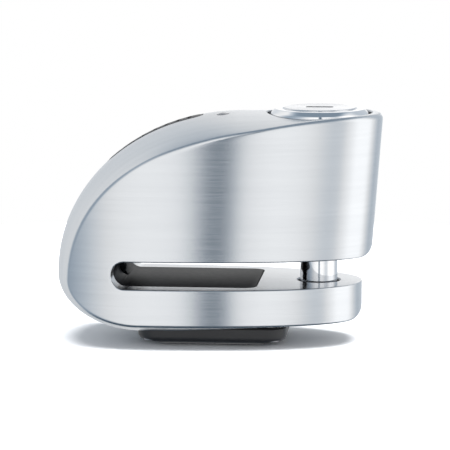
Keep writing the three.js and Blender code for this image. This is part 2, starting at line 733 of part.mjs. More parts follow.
place("cylinder_sleeve", cylinderSleeve(), brass());
place("cylinder_cap", cylinderCap(), chrome());
place("lock_pin", lockPin(), chrome());
const returnSpring = spring(AXIS_X, 0, BORE_LOW + 0.1, SLEEVE_LOW - 0.1, 9.2, 0.85, 4, 64, "z");
place("return_spring", returnSpring, springSteel());

place("plug_face", plugFace(), steel());
place("plug_carrier", plugCarrier(), brass());
place("drill_guard", drillGuard(), steel());
for (let i = 0; i < DISC_COUNT; i += 1) place("detainer_disc_" + (i + 1), detainerDisc(i), brass());
place("sidebar", sidebar(), springSteel());
place("driver_cam", driverCam(), steel());
place("catch_tongue", catchTongue(), steel());

export default lock;
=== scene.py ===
# %% [markdown]
# # A disc brake lock in brushed steel
#
# This lock hangs on a motorcycle's brake disc. One thick steel casting holds everything: a slot for
# the disc, a cylinder that is pushed down to lock, and a pin that the cylinder drives across the slot.
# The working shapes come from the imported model, which is loaded here and never moved. This lesson
# makes the fine surface of each visible piece, its finish, and a small studio to look at it in.

# %% The frame
import math

import bmesh
import bpy
import numpy as np
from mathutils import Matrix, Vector


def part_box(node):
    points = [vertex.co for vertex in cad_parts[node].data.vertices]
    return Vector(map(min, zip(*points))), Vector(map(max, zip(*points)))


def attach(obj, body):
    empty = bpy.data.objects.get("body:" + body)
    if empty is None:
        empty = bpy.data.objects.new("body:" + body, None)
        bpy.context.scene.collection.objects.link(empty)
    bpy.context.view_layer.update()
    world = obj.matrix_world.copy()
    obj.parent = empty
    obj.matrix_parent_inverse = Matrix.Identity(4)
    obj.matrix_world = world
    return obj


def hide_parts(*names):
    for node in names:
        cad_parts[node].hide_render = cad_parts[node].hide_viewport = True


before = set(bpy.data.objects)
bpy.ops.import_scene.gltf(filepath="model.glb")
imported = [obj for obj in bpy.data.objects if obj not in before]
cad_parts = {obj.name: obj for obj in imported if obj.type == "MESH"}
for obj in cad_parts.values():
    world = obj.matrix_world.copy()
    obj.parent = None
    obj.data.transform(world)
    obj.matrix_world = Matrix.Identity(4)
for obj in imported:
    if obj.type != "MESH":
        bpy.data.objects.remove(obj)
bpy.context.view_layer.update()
MM = 0.001

# %% [markdown]
# ## The camera
#
# A long lens far away keeps the upright walls upright. The camera stands a little above the lock and
# a little towards the cylinder end, so that the flat top and the round lock face show as slim ovals.

# %% Camera
AZIMUTH, ELEVATION = math.radians(5.416), math.radians(8.389)
CAMERA_PLACE = Vector((67.66, -698.9, 134.12)) * MM
FOCAL_LENGTH = 212.1

camera = bpy.data.objects.new("camera", bpy.data.cameras.new("camera"))
bpy.context.scene.collection.objects.link(camera)
back = Vector((
    math.sin(AZIMUTH) * math.cos(ELEVATION),
    -math.cos(AZIMUTH) * math.cos(ELEVATION),
    math.sin(ELEVATION),
))
camera.location = CAMERA_PLACE
camera.rotation_mode = "QUATERNION"
camera.rotation_quaternion = (-back).to_track_quat("-Z", "Y")
camera.data.lens = FOCAL_LENGTH
camera.data.clip_start, camera.data.clip_end = 0.01, 20
bpy.context.scene.camera = camera
print("camera", [round(v, 3) for v in camera.location], "lens", camera.data.lens)

# %% [markdown]
# ## Mesh helpers
#
# Lengths in this lesson are millimetres, turned into metres in one place: where a mesh is made.
# A turned piece is a profile spun about an axis. A prism is an outline pulled straight. Both come out
# closed, with faces outwards, which the boolean cuts further down depend on.

# %% Making meshes
def link_mesh(name, points, faces):
    mesh = bpy.data.meshes.new(name)
    mesh.from_pydata([tuple(p) for p in np.asarray(points, float) * MM], [], faces)
    mesh.update()
    made = bpy.data.objects.new(name, mesh)
    bpy.context.scene.collection.objects.link(made)
    return made


def volume_of(mesh):
    mesh.calc_loop_triangles()
    co = np.array([v.co for v in mesh.vertices])
    tri = np.array([t.vertices for t in mesh.loop_triangles])
    a, b, c = co[tri[:, 0]], co[tri[:, 1]], co[tri[:, 2]]
    return float(np.einsum("ij,ij->i", a, np.cross(b, c)).sum() / 6)


def tidy(made, weld=0.0008):
    """Welds doubled points and turns the faces outwards."""
    work = bmesh.new()
    work.from_mesh(made.data)
    bmesh.ops.remove_doubles(work, verts=work.verts, dist=weld * MM)
    bmesh.ops.dissolve_degenerate(work, edges=work.edges, dist=weld * MM * 0.1)
    work.to_mesh(made.data)
    work.free()
    if volume_of(made.data) < 0:
        made.data.flip_normals()
    return made


def turned(name, profile, segments, centre=(0, 0), axis="z"):
    """A profile of (radius, height) spun about an upright axis, or about a lying one for axis x."""
    profile = np.asarray(profile, float)
    angles = np.arange(segments) * 2 * math.pi / segments
    points, faces, n = [], [], len(profile)
    for angle in angles:
        for radius, height in profile:
            u, v = radius * math.cos(angle), radius * math.sin(angle)
            points.append((centre[0] + u, centre[1] + v, height) if axis == "z"
                          else (height, centre[0] + u, centre[1] + v))
    closed = np.allclose(profile[0], profile[-1])
    for k in range(segments):
        for i in range(n - 1):
            a, b = k * n + i, ((k + 1) % segments) * n + i
            faces.append((a, b, b + 1, a + 1))
    made = link_mesh(name, points, faces)
    print(name, "is turned,", segments, "segments,", "a ring" if closed else "solid")
    return tidy(made)


def prism(name, outline, low, high, axis="z"):
    """An outline pulled along the axis: (x, y) outlines along z, (x, z) outlines along y."""
    n = len(outline)
    points = [(u, v, h) if axis == "z" else (u, h, v) for h in (low, high) for u, v in outline]
    faces = [(i, (i + 1) % n, n + (i + 1) % n, n + i) for i in range(n)]
    faces += [tuple(range(n))[::-1], tuple(range(n, 2 * n))]
    return tidy(link_mesh(name, points, faces))


def arc(cx, cy, radius, start, end, steps):
    """Points on an arc; angles in degrees."""
    turn = np.radians(np.linspace(start, end, steps + 1))
    return [(cx + radius * math.cos(t), cy + radius * math.sin(t)) for t in turn]


def rounded_box(x, y, radius, steps=8):
    """A rectangle in plan with rounded corners."""
    return (arc(x[1] - radius, y[1] - radius, radius, 0, 90, steps)
            + arc(x[0] + radius, y[1] - radius, radius, 90, 180, steps)
            + arc(x[0] + radius, y[0] + radius, radius, 180, 270, steps)
            + arc(x[1] - radius, y[0] + radius, radius, 270, 360, steps))


def rounded_profile(corners, steps=4):
    """A profile whose corners (radius, height, rounding) are rounded off by small arcs."""
    points = [np.array(c[:2], float) for c in corners]
    out = []
    for i, (r, h, rounding) in enumerate(corners):
        if rounding <= 0 or i in (0, len(corners) - 1):
            out.append((r, h))
            continue
        before, here, after = points[i - 1], points[i], points[i + 1]
        first = here + (before - here) / np.linalg.norm(before - here) * rounding
        last = here + (after - here) / np.linalg.norm(after - here) * rounding
        for t in np.linspace(0, 1, steps + 1):
            out.append(tuple((1 - t) ** 2 * first + 2 * t * (1 - t) * here + t * t * last))
    return out


def finished(made, body, slot, *nodes, sharp=32):
    """Smooth shading with crisp edges kept; then the piece joins the frame."""
    made.data.shade_smooth()
    made.data.set_sharp_from_angle(angle=math.radians(sharp))
    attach(made, body)
    if nodes:
        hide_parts(*nodes)
    return made


def bake_modifiers(made):
    """Turns the object's modifiers into plain mesh."""
    graph = bpy.context.evaluated_depsgraph_get()
    mesh = bpy.data.meshes.new_from_object(made.evaluated_get(graph), depsgraph=graph)
    made.modifiers.clear()
    old, made.data = made.data, mesh
    mesh.name = made.name
    bpy.data.meshes.remove(old)
    return made


def cut(made, *tools, operation="DIFFERENCE"):
    """Cuts closed tools out of a piece, with the exact solver. The tools must not touch each other."""
    bpy.ops.object.select_all(action="DESELECT")
    for tool in tools:
        tool.select_set(True)
    bpy.context.view_layer.objects.active = tools[0]
    if len(tools) > 1:
        bpy.ops.object.join()
    boolean = made.modifiers.new("cut", "BOOLEAN")
    boolean.operation, boolean.solver, boolean.object = operation, "EXACT", tools[0]
    boolean.material_mode = "TRANSFER"
    bake_modifiers(made)
    bpy.data.objects.remove(tools[0])
    return made


print("helpers ready")

# %% [markdown]
# ## The outer form as two families of curves
#
# The casting is a block with upright walls under a crowned lid. In plan the walls follow two cubic
# curves on each side: a blunt nose, and a long side that sweeps round the cylinder end. The lid
# follows the ridge, a line in the mirror plane: flat on top, a quarter ellipse down the back, a
# smaller one under the nose, and a nearly flat belly. Away from the ridge the lid falls off as a
# parabola. Both families are formulas, so the mesh can be as fine as the light needs.

# %% Driving dimensions of the casting, in millimetres
body_low, body_high = (np.array(v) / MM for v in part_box("lock_body"))
NOSE_X, TOP_Z = float(body_low[0]), float(body_high[2])
AXIS_X = float(sum(v.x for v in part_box("lock_pin"))) / 2 / MM
NOSE_Z, BELLY_Z = 18.0, 2.6
TOP_ARC_X, BELLY_ARC_X = 6.0, -20.0
WIDEST_X, HALF_WIDTH = -18.0, 22.0
JAW_END_X, HOUSING_END_X, HOUSING_TOP_END_X = 38.2, 40.7, 43.55
CROWN_BACK, CROWN_NOSE, CROWN_BELLY = 6.0, 4.6, 3.9
CROWN_FADE = (-14.0, 38.0)
SLOT_LOW, SLOT_HIGH, SLOT_END_X = 16.3, 23.5, -26.6
SLOT_RADIUS = (SLOT_HIGH - SLOT_LOW) / 2
SLOT_MIDDLE = (SLOT_HIGH + SLOT_LOW) / 2
MOUTH_RADIUS, TOE_RADIUS = 3.0, 3.0
HOUSING_FULLNESS, HOUSING_TOP_FULLNESS, JAW_FULLNESS = 20.2, 20.3, 20.5  # how squarely each plan closes
LEAST_CROWN_WIDTH = 12.0  # half the narrowest width that the crown's parabola is laid over
print("casting from x", NOSE_X, "to height", TOP_Z, "with the cylinder at x", round(AXIS_X, 2))


# %% The walls: a plan curve that grows with height
def bezier(control, t):
    p, t = np.array(control, float), np.asarray(t, float)[..., None]
    return ((1 - t) ** 3 * p[0] + 3 * (1 - t) ** 2 * t * p[1] + 3 * (1 - t) * t**2 * p[2] + t**3 * p[3])


NOSE_CURVE = [(-47, 10), (-42, 19), (-30, HALF_WIDTH), (WIDEST_X, HALF_WIDTH)]
plan_steps = np.linspace(0, 1, 801)


def side_curve(end, fullness):
    return [(WIDEST_X, HALF_WIDTH), (-2, HALF_WIDTH), (end, fullness), (end, 0)]


class Wall:
    """Points of a wall by the length along its foot, sigma, and the height z. Sigma is 0 at the widest."""

    def __init__(self, low, high):
        nose, side = bezier(NOSE_CURVE, plan_steps), bezier(side_curve(*low), plan_steps)
        top = bezier(side_curve(*high), plan_steps)
        foot = np.concatenate([nose[:-1], side])
        step = np.linalg.norm(np.diff(foot, axis=0), axis=1)
        self.sigma = np.concatenate([[0], np.cumsum(step)])
        self.sigma -= self.sigma[len(plan_steps) - 1]
        self.foot, self.top = foot, np.concatenate([nose[:-1], top])

    def at(self, sigma, z):
        rise = (z - SLOT_HIGH) / (TOP_Z - SLOT_HIGH)
        low, high = ([np.interp(sigma, self.sigma, c[:, k]) for k in (0, 1)] for c in (self.foot, self.top))
        start = self.foot[1] - self.foot[0]
        before = np.minimum(sigma - self.sigma[0], 0) / np.linalg.norm(start)
        x = low[0] + (high[0] - low[0]) * rise + before * start[0]
        y = low[1] + (high[1] - low[1]) * rise + before * start[1]
        return np.stack([x, -y, z], -1)

    def sigma_at(self, x):
        return float(np.interp(x, self.foot[:, 0], self.sigma))


housing = Wall((HOUSING_END_X, HOUSING_FULLNESS), (HOUSING_TOP_END_X, HOUSING_TOP_FULLNESS))
jaw = Wall((JAW_END_X, JAW_FULLNESS), (JAW_END_X, JAW_FULLNESS))
print("wall length", round(housing.sigma[-1] - housing.sigma[0], 1), "mm")


# %% The lid: the ridge line with its normals, and how far the crown falls beside it
def smooth(low, high, x):
    t = np.clip((x - low) / (high - low), 0, 1)
    return t * t * (3 - 2 * t)


def fade(x):
    return smooth(*CROWN_FADE, x)


def ridge_line(beyond=48.0, fine=400):
    """Rows of x, z, the outward normal's x and z, and the crown's depth, from the top round to the toe."""
    a, b = TOP_ARC_X - NOSE_X, TOP_Z - NOSE_Z
    c, d = BELLY_ARC_X - NOSE_X, NOSE_Z - BELLY_Z
    x = np.linspace(beyond, TOP_ARC_X, fine, endpoint=False)
    flat = np.stack([x, 0 * x + TOP_Z, 0 * x, 0 * x + 1, CROWN_BACK * (1 - fade(x))])
    s = np.linspace(0, 1, 2 * fine, endpoint=False)
    t = s * math.pi / 2
    x = TOP_ARC_X - a * np.sin(t)
    depth = (CROWN_BACK + (CROWN_NOSE - CROWN_BACK) * s) * (1 - fade(x))
    rear = np.stack([x, NOSE_Z + b * np.cos(t), -np.sin(t) / a, np.cos(t) / b, depth])
    under = np.stack([BELLY_ARC_X - c * np.cos(t), NOSE_Z - d * np.sin(t), -np.cos(t) / c, -np.sin(t) / d,
                      CROWN_NOSE + (CROWN_BELLY - CROWN_NOSE) * s])
    toe_x, toe_z = JAW_END_X - TOE_RADIUS, BELLY_Z + CROWN_BELLY + TOE_RADIUS
    x = np.linspace(BELLY_ARC_X, toe_x, 2 * fine, endpoint=False)
    belly = np.stack([x, BELLY_Z + CROWN_BELLY * fade(x), 0 * x, 0 * x - 1, CROWN_BELLY * (1 - fade(x))])
    turn = np.linspace(0, math.pi / 2, fine)
    toe = np.stack([toe_x + TOE_RADIUS * np.sin(turn), toe_z - TOE_RADIUS * np.cos(turn),
                    np.sin(turn), -np.cos(turn), 0 * turn])
    line = np.concatenate([flat, rear, under, belly, toe], 1).T
    line[:, 2:4] /= np.linalg.norm(line[:, 2:4], axis=1)[:, None]
    return line


RIDGE = ridge_line()
RIDGE_LENGTH = np.concatenate([[0], np.cumsum(np.linalg.norm(np.diff(RIDGE[:, :2], axis=0), axis=1))])
inset_x = RIDGE[:, 0] - RIDGE[:, 2] * RIDGE[:, 4]
half_width = np.interp(inset_x, housing.foot[:, 0], housing.foot[:, 1])
half_width[inset_x > housing.foot[-1, 0]] = 0
RIDGE_WIDTH = np.maximum(half_width, LEAST_CROWN_WIDTH)


def lid(r, y, lift=0.0):
    """A point of the lid by the length r along the ridge and the distance y beside it."""
    x, z, nx, nz, depth = (np.interp(r, RIDGE_LENGTH, RIDGE[:, k]) for k in range(5))
    size = np.hypot(nx, nz)
    drop = (depth * (y / np.interp(r, RIDGE_LENGTH, RIDGE_WIDTH)) ** 2 - lift) / size
    return np.stack([x - nx * drop, y + 0 * x, z - nz * drop], -1)


def lid_over(points):
    """How far points stand above the lid, and the ridge length where each one is nearest to it."""
    drop = RIDGE[:, 4] * (points[..., 1:2] / RIDGE_WIDTH) ** 2
    dx = points[..., 0:1] - (RIDGE[:, 0] - RIDGE[:, 2] * drop)
    dz = points[..., 2:3] - (RIDGE[:, 1] - RIDGE[:, 3] * drop)
    near = np.argmin(dx**2 + dz**2, axis=-1)
    near_dx, near_dz = (np.take_along_axis(d, near[..., None], -1)[..., 0] for d in (dx, dz))
    above = near_dx * RIDGE[near, 2] + near_dz * RIDGE[near, 3]
    along = near_dx * RIDGE[near, 3] - near_dz * RIDGE[near, 2]
    return above, RIDGE_LENGTH[near] - along


print("ridge length", round(float(RIDGE_LENGTH[-1]), 1), "mm in", len(RIDGE), "steps")

# %% [markdown]
# ## The casting's mesh
#
# A boolean of lid and walls would leave a ragged edge that no bevel rounds evenly, and this edge is
# what the eye follows. So the skin is one grid. Each column starts in the slot on the mirror plane,
# comes out to the wall, climbs it to the edge, turns over a small fillet, and runs up the lid to the
# mirror plane again. The columns walk from the cylinder end, round the closed end of the slot, to
# the jaw's end. The grid is then mirrored.

# %% Columns on the wall: where each leaves the slot and where it meets the lid
HOUSING_COLUMNS, JAW_COLUMNS, ROUND_COLUMNS, CENTRE_COLUMNS = 120, 110, 97, 6
REACH, HALVINGS = 48.0, 44  # the lid is looked for within this distance, by halving it this often


def wall_columns():
    """For each column: its wall, the slot point as (sigma, z), and the direction it leaves the slot in."""
    columns = []
    end_x = SLOT_END_X + SLOT_RADIUS
    centre = housing.sigma_at(end_x)

    def mouth(x):
        middle = HOUSING_END_X + 0.2 - MOUTH_RADIUS
        inside = np.clip(x - middle, 0, MOUTH_RADIUS * 0.9999)
        return SLOT_HIGH + MOUTH_RADIUS - math.sqrt(MOUTH_RADIUS**2 - inside**2)

    def spread(wall, count):
        t = np.linspace(1, 0, count) ** 0.9
        side = wall.sigma[len(plan_steps) - 1:]
        far = [float(np.interp(k, plan_steps, side)) for k in t]
        near = np.linspace(0, centre, CENTRE_COLUMNS + 2)[1:-1]
        return [*far, *near]

    for sigma in spread(housing, HOUSING_COLUMNS):
        z = SLOT_HIGH
        for _ in range(20):
            z = 0.5 * z + 0.5 * mouth(float(housing.at(sigma, z)[0]))
        columns.append((housing, (sigma, z), (0, 1)))
    for angle in np.radians(np.linspace(90, 270, ROUND_COLUMNS)):
        out = (math.cos(angle), math.sin(angle))
        start = (housing.sigma_at(end_x + SLOT_RADIUS * out[0]), SLOT_MIDDLE + SLOT_RADIUS * out[1])
        columns.append((housing, start, out))
    for sigma in reversed(spread(jaw, JAW_COLUMNS)):
        columns.append((jaw, (sigma, SLOT_LOW), (0, -1)))
    return columns


def on_wall(columns, places):
    is_jaw = np.array([c[0] is jaw for c in columns])
    is_jaw = is_jaw.reshape(is_jaw.shape + (1,) * (places.ndim - 2))
    upper = housing.at(places[..., 0], places[..., 1])
    lower = jaw.at(places[..., 0], places[..., 1])
    return np.where(is_jaw[..., None], lower, upper)


def reach_lid(columns):
    """Runs each column outwards on its wall until it comes through the lid."""
    start = np.array([c[1] for c in columns])
    out = np.array([c[2] for c in columns], float)
    low, high = np.zeros(len(columns)), np.full(len(columns), REACH)
    for _ in range(HALVINGS):
        middle = (low + high) / 2
        above, _ = lid_over(on_wall(columns, start + out * middle[:, None]))
        low, high = np.where(above < 0, middle, low), np.where(above < 0, high, middle)
    edge = start + out * low[:, None]
    return start, edge


columns = wall_columns()
slot_places, edge_places = reach_lid(columns)
edge_points = on_wall(columns, edge_places)
_, edge_r = lid_over(edge_points)
print(len(columns), "columns; the edge runs from", edge_points[0].round(1), "to", edge_points[-1].round(1))


# %% The grid: rows of the slot, the two fillets, the wall and the lid
def inward(line, keep):
    """Unit normals of a line in a plane, on the side that keep points to."""
    tangent = np.gradient(line, axis=0)
    tangent /= np.maximum(np.linalg.norm(tangent, axis=1), 1e-9)[:, None]
    normal = np.stack([-tangent[:, 1], tangent[:, 0]], -1)
    return np.where((np.einsum("ij,ij->i", normal, keep) < 0)[:, None], -normal, normal)


ROUND_WEIGHT = 0.72  # the corner's pull on a fillet; about 0.7 gives a circle at a right angle


def fillet(first, corner, last, steps):
    """Rows on the round between two rows, about the corner row."""
    rows = []
    for t in np.linspace(0, 1, steps + 1)[1:-1]:
        a, b, c = (1 - t) ** 2, 2 * t * (1 - t) * ROUND_WEIGHT, t * t
        rows.append((a * first + b * corner + c * last) / (a + b + c))
    return rows


EDGE_ROUND, SLOT_ROUND = 0.72, 0.5
SHOULDER_GROWTH, SHOULDER_X = 1.1, (8, 38)  # the edge grows softer towards the cylinder
WALL_ROWS, LID_ROWS, SLOT_ROWS, ROUND_STEPS = 42, 26, 7, 7


def casting_grid():
    x = edge_points[:, 0]
    shoulder = EDGE_ROUND + SHOULDER_GROWTH * smooth(*SHOULDER_X, x) * (edge_points[:, 2] > SLOT_MIDDLE)
    out = slot_places - edge_places
    wall_in = inward(edge_places, out)
    wall_top = edge_places + wall_in * shoulder[:, None]
    lid_line = np.stack([edge_r, edge_points[:, 1]], -1)
    lid_in = inward(lid_line, np.stack([0 * x, 0 * x + 1], -1))
    lid_foot = lid_line + lid_in * shoulder[:, None]
    lid_foot[:, 1] = np.minimum(lid_foot[:, 1], 0)
    lid_foot[0], lid_foot[-1] = (lid_foot[k] * (1, 0) for k in (0, -1))
    wall_foot = slot_places + inward(slot_places, -out) * SLOT_ROUND
    slot_points = on_wall(columns, slot_places)
    depth = np.minimum(slot_points[:, 1] + SLOT_ROUND, 0)

    rows, zones, sigma = [], [], []

    def add(points, zone, along):
        rows.append(points)
        zones.append(zone)
        sigma.append(along)

    for share in np.linspace(0, 1, SLOT_ROWS):
        inside = np.stack([slot_points[:, 0], depth * share, slot_points[:, 2]], -1)
        add(inside, "slot", slot_places[:, 0])
    first, last = rows[-1], on_wall(columns, wall_foot)
    for k, points in enumerate(fillet(first, slot_points, last, ROUND_STEPS)):
        add(points, "slot" if k < ROUND_STEPS // 2 else "wall", slot_places[:, 0])
    for share in np.linspace(0, 1, WALL_ROWS):
        place = wall_foot + (wall_top - wall_foot) * share
        add(on_wall(columns, place), "wall", place[:, 0])
    first, last = rows[-1], lid(lid_foot[:, 0], lid_foot[:, 1])
    for k, points in enumerate(fillet(first, edge_points, last, ROUND_STEPS)):
        add(points, "wall" if k < ROUND_STEPS // 2 else "lid", edge_places[:, 0])
    for share in np.linspace(0, 1, LID_ROWS):
        add(lid(lid_foot[:, 0], lid_foot[:, 1] * (1 - share)), "lid", edge_places[:, 0])
    whole = np.array(rows)
    whole[:, [0, -1], 1] = 0  # the first and last columns lie in the mirror plane
    return whole, zones, np.array(sigma), lid_foot[:, 0]


grid, zones, grid_sigma, grid_r = casting_grid()
print("grid of", grid.shape[0], "rows by", grid.shape[1], "columns")


# %% Both halves as one mesh, with a UV map that runs along the brushing
def casting():
    high, wide = grid.shape[:2]
    index = np.arange(high * wide).reshape(high, wide)
    quads = np.stack([index[:-1, :-1], index[:-1, 1:], index[1:, 1:], index[1:, :-1]], -1).reshape(-1, 4)
    near = grid.reshape(-1, 3)
    far = near * (1, -1, 1)
    points = np.concatenate([near, far])
    faces = np.concatenate([quads, quads[:, ::-1] + len(near)])
    made = link_mesh("lock_casting", points, [tuple(int(v) for v in f) for f in faces])

    # Millimetres along the brushing, and across it: up the walls, across the lid and the slot.
    apart = 80  # keeps the streaks of the three zones apart
    across = {"wall": grid[..., 2], "lid": grid[..., 1] + apart, "slot": grid[..., 1] - apart}
    uv = made.data.uv_layers.new(name="brush")
    row_of = np.repeat(np.arange(high - 1), wide - 1)
    flat = {zone: values.reshape(-1) for zone, values in across.items()}
    along_wall, along_lid = grid_sigma.reshape(-1), np.tile(grid_r, high)
    values = np.zeros((len(faces) * 4, 2))
    for zone in across:
        mine = np.array([zones[k] == zone for k in row_of])
        both = np.concatenate([mine, mine])
        corners = (faces[both] % len(near)).reshape(-1)
        spots = (np.nonzero(both)[0][:, None] * 4 + np.arange(4)).reshape(-1)
        values[spots, 0] = (along_lid if zone == "lid" else along_wall)[corners]
        values[spots, 1] = flat[zone][corners]
    uv.data.foreach_set("uv", (values * MM).astype(np.float32).reshape(-1))
    return tidy(made)


body = casting()
print("casting:", len(body.data.polygons), "faces,", round(volume_of(body.data) * 1e6, 1), "cm3 uncut")

# %% [markdown]
# ## Finishes
#
# The casting is brushed: thousands of fine parallel scratches. They do two things. Up close they show
# as streaks, a little lighter or darker and rougher than their neighbours. From further off they
# stretch every reflection across themselves, which Cycles calls anisotropy. Streaks come from noise
# that is stretched along the brushing and read through the piece's own UV map, so they turn with the
# surface. The same group, with other numbers, gives the faint turning marks on chrome and brass.

# %% Shader node groups
def new_group(name, inputs, outputs):
    group = bpy.data.node_groups.new(name, "ShaderNodeTree")
    for label, kind, value in inputs:
        socket = group.interface.new_socket(label, in_out="INPUT", socket_type=kind)
        if value is not None:
            socket.default_value = value
    for label, kind in outputs:
        group.interface.new_socket(label, in_out="OUTPUT", socket_type=kind)
    return group, group.nodes.new("NodeGroupInput"), group.nodes.new("NodeGroupOutput")


def node(tree, kind, values=(), **settings):
    """A node with its settings, and with values on its input sockets; a socket value is linked."""
    made = tree.nodes.new(kind)
    for key, value in settings.items():
        setattr(made, key, value)
    for key, value in dict(values).items():
        if isinstance(value, bpy.types.NodeSocket):
            tree.links.new(value, made.inputs[key])
        else:
            made.inputs[key].default_value = value
    return made


def scaled(tree, vector, scale):
    return node(tree, "ShaderNodeVectorMath", {0: vector, 1: scale}, operation="MULTIPLY").outputs[0]


def brushed_group():
    """Streaks along the first coordinate. Marks goes from 0 to 1, Height is for a Bump node."""
    group, source, sink = new_group(
        "brushed_streaks",
        [("Vector", "NodeSocketVector", None), ("Across", "NodeSocketFloat", 9000.0),
         ("Along", "NodeSocketFloat", 60.0)],
        [("Marks", "NodeSocketFloat"), ("Broad", "NodeSocketFloat"), ("Height", "NodeSocketFloat")],
    )
    spread = []
    for across, along, detail in ((1.0, 1.0, 2.0), (0.28, 0.45, 2.0), (0.045, 0.12, 1.0)):
        pair = node(group, "ShaderNodeCombineXYZ", {"Z": 1.0})
        for axis, name, share in (("X", "Along", along), ("Y", "Across", across)):
            product = node(group, "ShaderNodeMath", {0: source.outputs[name], 1: share},
                           operation="MULTIPLY")
            group.links.new(product.outputs[0], pair.inputs[axis])
        place = scaled(group, source.outputs["Vector"], pair.outputs[0])
        noise = node(group, "ShaderNodeTexNoise", {"Vector": place, "Scale": 1.0, "Detail": detail,
                                                   "Roughness": 0.6}, noise_dimensions="2D")
        spread.append(noise.outputs["Fac"])
    fine, middle, broad = spread
    mixed = node(group, "ShaderNodeMix", {"Factor": 0.45, 2: fine, 3: middle}, data_type="FLOAT")
    marks = node(group, "ShaderNodeMapRange", {"Value": mixed.outputs[0], "From Min": 0.3, "From Max": 0.7})
    group.links.new(marks.outputs[0], sink.inputs["Marks"])
    wide = node(group, "ShaderNodeMapRange", {"Value": broad, "From Min": 0.3, "From Max": 0.7})
    group.links.new(wide.outputs[0], sink.inputs["Broad"])
    group.links.new(fine, sink.inputs["Height"])
    return group


def grain_group():
    """Fine even grain for moulded and cast surfaces, with a slow mottling over it."""
    group, source, sink = new_group(
        "fine_grain",
        [("Vector", "NodeSocketVector", None), ("Scale", "NodeSocketFloat", 2500.0)],
        [("Grain", "NodeSocketFloat"), ("Mottle", "NodeSocketFloat")],
    )
    fine = node(group, "ShaderNodeTexNoise", {"Vector": source.outputs["Vector"], "Detail": 3.0,
                                              "Scale": source.outputs["Scale"]})
    slow = node(group, "ShaderNodeTexNoise", {"Vector": source.outputs["Vector"], "Detail": 4.0,
                                              "Scale": 140.0})
    group.links.new(fine.outputs["Fac"], sink.inputs["Grain"])
    group.links.new(slow.outputs["Fac"], sink.inputs["Mottle"])
    return group


BRUSHED, GRAIN = brushed_group(), grain_group()
print("groups:", BRUSHED.name, GRAIN.name)


# %% Materials from the groups
def new_material(name, **shader):
    material = bpy.data.materials.new(name)
    material.use_nodes = True
    tree = material.node_tree
    principled = tree.nodes["Principled BSDF"]
    for key, value in shader.items():
        principled.inputs[key.replace("_", " ")].default_value = value
    return material, tree, principled


def ramp(tree, factor, dark, light):
    ends = {"Factor": factor, 6: (*dark, 1), 7: (*light, 1)}
    return node(tree, "ShaderNodeMix", ends, data_type="RGBA").outputs[2]


def between(tree, factor, low, high):
    return node(tree, "ShaderNodeMapRange", {"Value": factor, "To Min": low, "To Max": high}).outputs[0]


def axis_coordinates(tree):
    """Coordinates whose first runs round the cylinder's axis, and whose second runs out and up."""
    coords = node(tree, "ShaderNodeTexCoord").outputs["Object"]
    centred = node(tree, "ShaderNodeMapping", {"Vector": coords, "Location": (-AXIS_X * MM, 0, 0)})
    x, y, z = node(tree, "ShaderNodeSeparateXYZ", {0: centred.outputs[0]}).outputs
    turn = node(tree, "ShaderNodeMath", {0: y, 1: x}, operation="ARCTAN2")
    flat = scaled(tree, centred.outputs[0], (1, 1, 0))
    radius = node(tree, "ShaderNodeVectorMath", {0: flat}, operation="LENGTH")
    reach = node(tree, "ShaderNodeMath", {0: radius.outputs["Value"], 1: z}, operation="ADD")
    small = node(tree, "ShaderNodeMath", {0: turn.outputs[0], 1: 0.01}, operation="MULTIPLY")
    return node(tree, "ShaderNodeCombineXYZ", {"X": small.outputs[0], "Y": reach.outputs[0]}).outputs[0]


def brushed_metal(name, dark, light, rough, bump, across, along, uv=None, anisotropic=0.0):
    """Metal with parallel marks: along the piece's UV map, or else round the cylinder's axis."""
    material, tree, principled = new_material(
        name, Metallic=1.0, Anisotropic=anisotropic, Anisotropic_Rotation=0.25)
    if uv:
        vector = node(tree, "ShaderNodeUVMap", uv_map=uv).outputs[0]
        tangent = node(tree, "ShaderNodeTangent", direction_type="UV_MAP", uv_map=uv)
        tree.links.new(tangent.outputs[0], principled.inputs["Tangent"])
    else:
        vector = axis_coordinates(tree)
        if anisotropic:
            tangent = node(tree, "ShaderNodeTangent", direction_type="RADIAL", axis="Z")
            tree.links.new(tangent.outputs[0], principled.inputs["Tangent"])
    streaks = node(tree, "ShaderNodeGroup", {}, node_tree=BRUSHED)
    tree.links.new(vector, streaks.inputs["Vector"])
    streaks.inputs["Across"].default_value = across
    streaks.inputs["Along"].default_value = along
    marks, broad, height = streaks.outputs
    shade = node(tree, "ShaderNodeMix", {"Factor": 0.3, 2: marks, 3: broad}, data_type="FLOAT").outputs[0]
    tree.links.new(ramp(tree, shade, dark, light), principled.inputs["Base Color"])
    tree.links.new(between(tree, marks, *rough), principled.inputs["Roughness"])
    if bump:
        bumped = node(tree, "ShaderNodeBump", {"Height": height, "Strength": bump, "Distance": 0.02 * MM})
        tree.links.new(bumped.outputs[0], principled.inputs["Normal"])
    return material


def grained(name, dark, light, rough, scale, bump=0.0, **shader):
    """Plastic, rubber or plain metal with a fine even grain."""
    material, tree, principled = new_material(name, **shader)
    coords = node(tree, "ShaderNodeTexCoord").outputs["Object"]
    grain = node(tree, "ShaderNodeGroup", {}, node_tree=GRAIN)
    tree.links.new(coords, grain.inputs["Vector"])
    grain.inputs["Scale"].default_value = scale
    tree.links.new(ramp(tree, grain.outputs["Mottle"], dark, light), principled.inputs["Base Color"])
    tree.links.new(between(tree, grain.outputs["Grain"], *rough), principled.inputs["Roughness"])
    if bump:
        bumped = node(tree, "ShaderNodeBump", {"Height": grain.outputs["Grain"], "Strength": bump,
                                               "Distance": 0.03 * MM})
        tree.links.new(bumped.outputs[0], principled.inputs["Normal"])
    return material


